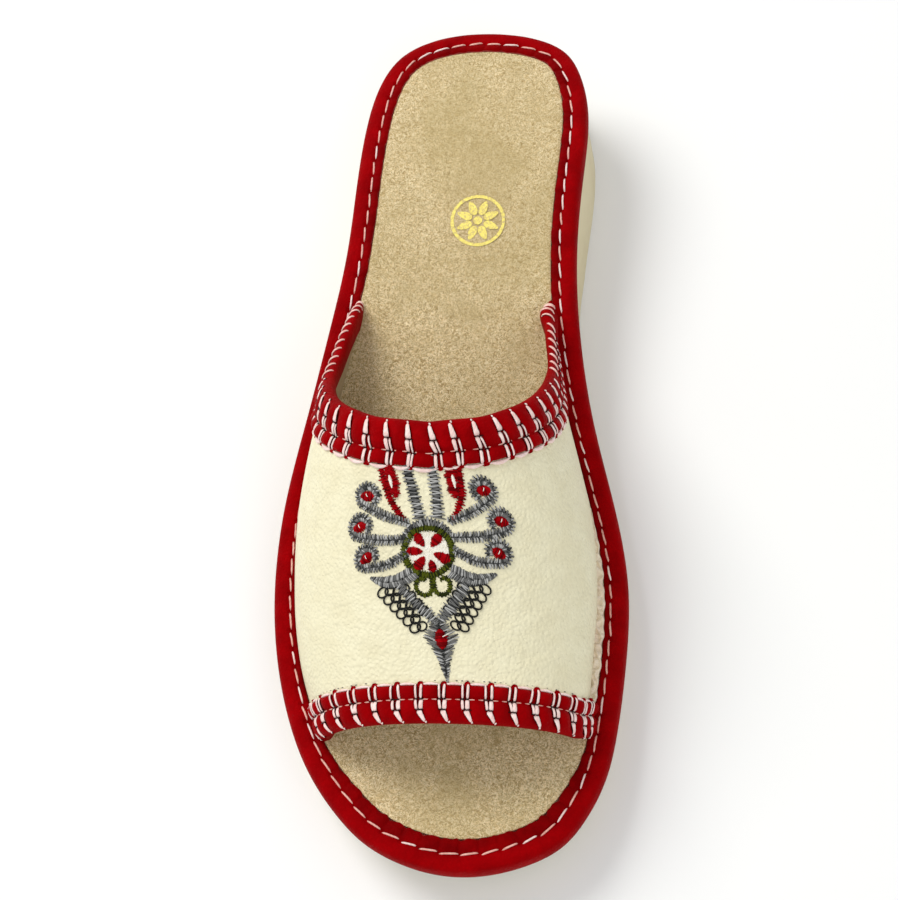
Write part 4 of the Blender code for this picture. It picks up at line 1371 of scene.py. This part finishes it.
def embroidery():
    """Ornament on the vamp's crown, the same on both sides of its axis but for the stitches."""
    # dark and wine gather the dark underlays: painted shadow between the threads
    grey, spine, black, dark, crimson, olive, snow, wine = ([] for _ in range(8))

    # A stroke also lays a dark underlay, whose share of the width is set by under: painted shadow
    # between the threads
    def stroke(batch, path, widths, method=satin, under=0.6, **options):
        batch.append(method(path, widths, **options))
        (wine if batch is crimson else dark).append(shadow_underlay(path, widths, under))
    for way in (1, -1):
        for row in FEATHERS:
            path, widths, aim = feather(way, *row)
            stroke(grey, path, widths, barbs, 0.5)
            quill = ((0, 0.34), (0.8, 0.34), (1, 0.2))
            spine.append(satin(path, quill, 0.40, 0.95, 0.35, half=0.13))
            eye = mirrored(row[:2], way)
            crimson.append(fill(eye, 1.9, 1.55, 90 - way * (90 - aim - 60), 0, 0.32, 0.60))
            # white line over each red eye: painted highlight
            painted_glint = [eye + (-0.30 * way, -0.5)], [eye + (0.25 * way, 0.9)]
            snow.append(laid_threads(*painted_glint, [0.90], 0.11))
        bar = bent([(3.3, 24.0), (3.0, 16.0), (2.3, 8.4)], way)
        stroke(grey, bar, ((0, 1.6), (0.8, 1.7), (1, 2.0)), pitch=0.45)
        drop = mirrored((7.9, 18.3 - 0.4 * way), way)
        crimson.append(fill(drop, 4.5, 2.05, 90 - 4 * way, 0.0, 0.36, 0.55, 0.16))
        stem = bent([(10.1, 23.4), (10.0, 19.0), (9.5, 14.8), (8.1, 11.0), (6.2, 8.0)], way)
        stroke(crimson, stem, ((0, 0.95), (0.3, 1.05), (0.7, 1.1), (1, 0.75)), pitch=0.38,
               ragged=0.18)
        snow.append(fill(mirrored((8.1, 17.9 - 0.4 * way), way), 1.5, 0.60, 90, 0.3, 0.3, 0.75))
        plume = bent([(16.4, -5.6), (12.4, -7.1), (8.4, -6.8), (5.0, -5.2)], way)
        stroke(grey, plume, ((0, 0.5), (0.25, 1.4), (0.65, 1.9), (1, 1.9)), barbs, pitch=0.44)
        arm = bent([(9.6, -7.4), (6.7, -10.8), (3.6, -14.4), (0.5, -18.0)], way)
        stroke(grey, arm, ((0, 1.3), (0.35, 1.8), (0.8, 1.7), (1, 1.3)), under=0.55, pitch=0.40,
               slant=-0.25 * way)
        scroll = bent([(0.25, -6.6), (0.35, -9.4), (1.3, -10.9), (3.0, -10.9), (4.3, -9.6),
                       (4.3, -7.8), (3.1, -6.7), (2.0, -7.3)], way, 70)
        stroke(olive, scroll, ((0, 0.6), (0.15, 0.68), (0.9, 0.68), (1, 0.5)), under=0.7,
               pitch=0.36)
        black += lattice(way)
        axis = np.linspace(-17.2, -33.4, 46)
        odd = np.arange(len(axis))
        half = straight(TAIL, -axis)
        half = half * (1 + 0.06 * rng.normal(size=len(axis)) - 0.16 * (odd // 2 % 2))
        meet = np.where(odd % 2, 0.10, -0.10)
        starts = np.column_stack([np.full(len(axis), 0.02 * way), axis - half * 0.34 + meet])
        stops = np.column_stack([way * half, axis + half * 0.06 - meet])
        grey.append(laid_threads(starts, stops, 0.36 * np.clip(half / 2, 0.4, 1), 0.17))
    keel = bent([(0, -17.5), (0, -22.0), (0, -27.0), (0, -32.0)], 1)
    # dark underlay under the tail's keel: painted shadow
    dark.append(shadow_underlay(keel, ((0, 1.0), (0.3, 2.6), (0.6, 1.4), (1, 0.3)), 0.8))
    spine.append(satin(keel, ((0, 0.5), (0.4, 0.6), (1, 0.25)), 0.5, 0.75, 0.3, half=0.15))
    crown = arc_path(RING_CENTRE, 7.6, 25, 155, 0.96)
    stroke(grey, crown, ((0, 0.6), (0.5, 1.4), (1, 0.6)), pitch=0.42)
    snow.append(fill(RING_CENTRE, 5.2, 5.5, 0, 0, 0.38, 0.20))
    for angle, far, half_long, half_wide in PETALS:
        centre = RING_CENTRE + far * heading(angle)
        crimson.append(fill(centre, half_long, half_wide, angle, 0.25, 0.32, 0.55))
    coil = arc_path(RING_CENTRE, 0.85, 40, 360)
    snow.append(satin(coil, ((0, 0.35), (1, 0.35)), 0.30, 0.5, 0.1))
    circle = arc_path(RING_CENTRE, RING_RADIUS, 0, 360, 0.97, 160)
    stroke(olive, circle, ((0, 0.98), (1, 0.98)), under=0.75, pitch=0.36, lift=0.55, ragged=0.10)
    crimson.append(fill((0, -22.4), 2.4, 1.95, 90, 0, 0.30, 1.05))
    # white line over the tail's red eye: painted highlight
    snow.append(laid_threads([(-0.2, -22.1)], [(2.6, -20.8)], [1.3], 0.12))
    # the shadow underlay and wine objects are painted shadow between the threads
    for label, batches, colours in (
            ("shadow_underlay", dark, "black"), ("wine", wine, "wine"),
            ("grey", grey, "grey pale slate pale grey grey"), ("spine", spine, "slate slate grey"),
            ("loops", black, "black"), ("crimson", crimson, "crimson crimson crimson wine"),
            ("olive", olive, "olive olive moss"), ("white", snow, "snow")):
        piece = add_threads("embroidery_" + label, batches, *colours.split())


# Gold foil on the footbed: a small plain rosette

FOIL_X = 5.0 * MM
FOIL_Y = 62.0 * MM
FOIL_SCALE = 0.92
FOIL_RADII = (8.8, 7.75, 1.4)  # of the ring's outer and inner edge and of the dot


def foil():
    """Rosette of eight leaves, a ring and a dot, laid on the suede."""
    t = np.linspace(0, 2 * np.pi, 24, endpoint=False)
    long, wide = 2.5 * np.cos(t) + 4.6, 1.25 * np.sin(t) * (1 - 0.35 * np.cos(t))
    loops = []
    for angle in np.radians(45 * np.arange(8) + 22.5):
        c, s = np.cos(angle), np.sin(angle)
        loops.append(np.column_stack([long * c - wide * s, long * s + wide * c]))
    k = np.arange(48)
    t = k * 2 * np.pi / 48
    loops += [radius * np.column_stack([np.cos(t), np.sin(t)]) for radius in FOIL_RADII]
    outer, inner, dot = (k + 24 * 8 + 48 * row for row in range(3))
    band = np.column_stack([outer, np.roll(outer, -1), np.roll(inner, -1), inner])
    flat = np.vstack(loops) * MM * FOIL_SCALE + (FOIL_X, FOIL_Y)
    raised = np.column_stack([flat, top(flat[:, 1]) + 0.19 * MM])
    leaves = np.arange(24 * 8).reshape(8, 24)
    piece = add_mesh("foil_rosette", raised, [leaves, band, dot[None]], [FOIL])
    piece.data.shade_flat()


# Camera, light and floor

PHOTO_WIDTH = 898
PHOTO_HEIGHT = 900
FOCAL_PX = 1875               # focal length of the photo's fitted camera
CAMERA_AT = (0.05535, -0.2312, 0.4985)
CAMERA_PITCH = 65.0           # degrees under the horizon
SHOE_CENTRE_PX = 248          # column of the slipper's middle in the photo


def camera():
    data = bpy.data.cameras.new("camera")
    data.sensor_fit = "VERTICAL"
    data.sensor_height = 36
    data.lens = 36 * FOCAL_PX / PHOTO_HEIGHT
    data.clip_start = 0.01
    item = add_object("camera", data)
    pitch = Matrix.Rotation(np.radians(90 - CAMERA_PITCH), 4, "X")
    yaw = Matrix.Rotation(np.arctan((PHOTO_WIDTH / 2 - SHOE_CENTRE_PX) / FOCAL_PX), 4, "Y")
    item.matrix_world = Matrix.Translation(CAMERA_AT) @ pitch @ yaw
    bpy.context.scene.camera = item


def area_light(name, at, size, power, colour=(1, 1, 1)):
    """Round soft light that faces the middle of the floor."""
    data = bpy.data.lights.new(name, "AREA")
    data.shape, data.size, data.energy, data.color = "DISK", size, power, colour
    item = add_object(name, data)
    item.location = at
    item.rotation_euler = (-Vector(at)).to_track_quat("-Z", "Y").to_euler()


def stage():
    material, tree, shader = new_material("floor", (0.88, 0.885, 0.87), 0.7)
    stops = (0.3, (0.87, 0.875, 0.86)), (0.7, (0.89, 0.895, 0.88))
    dress(tree, shader, Base_Color=ramp(tree, noise(tree, place(tree), 3, 2), stops))
    mesh = bpy.data.meshes.new("floor")
    reach = 4.0
    corners = [(-reach, -reach, 0), (reach, -reach, 0), (reach, reach, 0), (-reach, reach, 0)]
    mesh.from_pydata(corners, [], [(0, 1, 2, 3)])
    mesh.materials.append(material)
    floor = add_object("floor", mesh)
    scene = bpy.context.scene
    world = bpy.data.worlds.new("studio")
    world.use_nodes = True
    sky = world.node_tree.nodes["Background"]
    sky.inputs[0].default_value = (0.97, 0.98, 1.0, 1)
    sky.inputs[1].default_value = 0.62
    scene.world = world
    scene.view_settings.view_transform = "Standard"
    area_light("key", (-0.65, 0.50, 0.95), 0.75, 10.4, (1.0, 0.985, 0.96))
    area_light("fill", (0.40, -0.90, 0.80), 1.0, 3.8)


camera()
stage()
wedge()
rand()
rand_stitches()
footbed()
upper()
vamp_margin()
bindings()
embroidery()
foil()
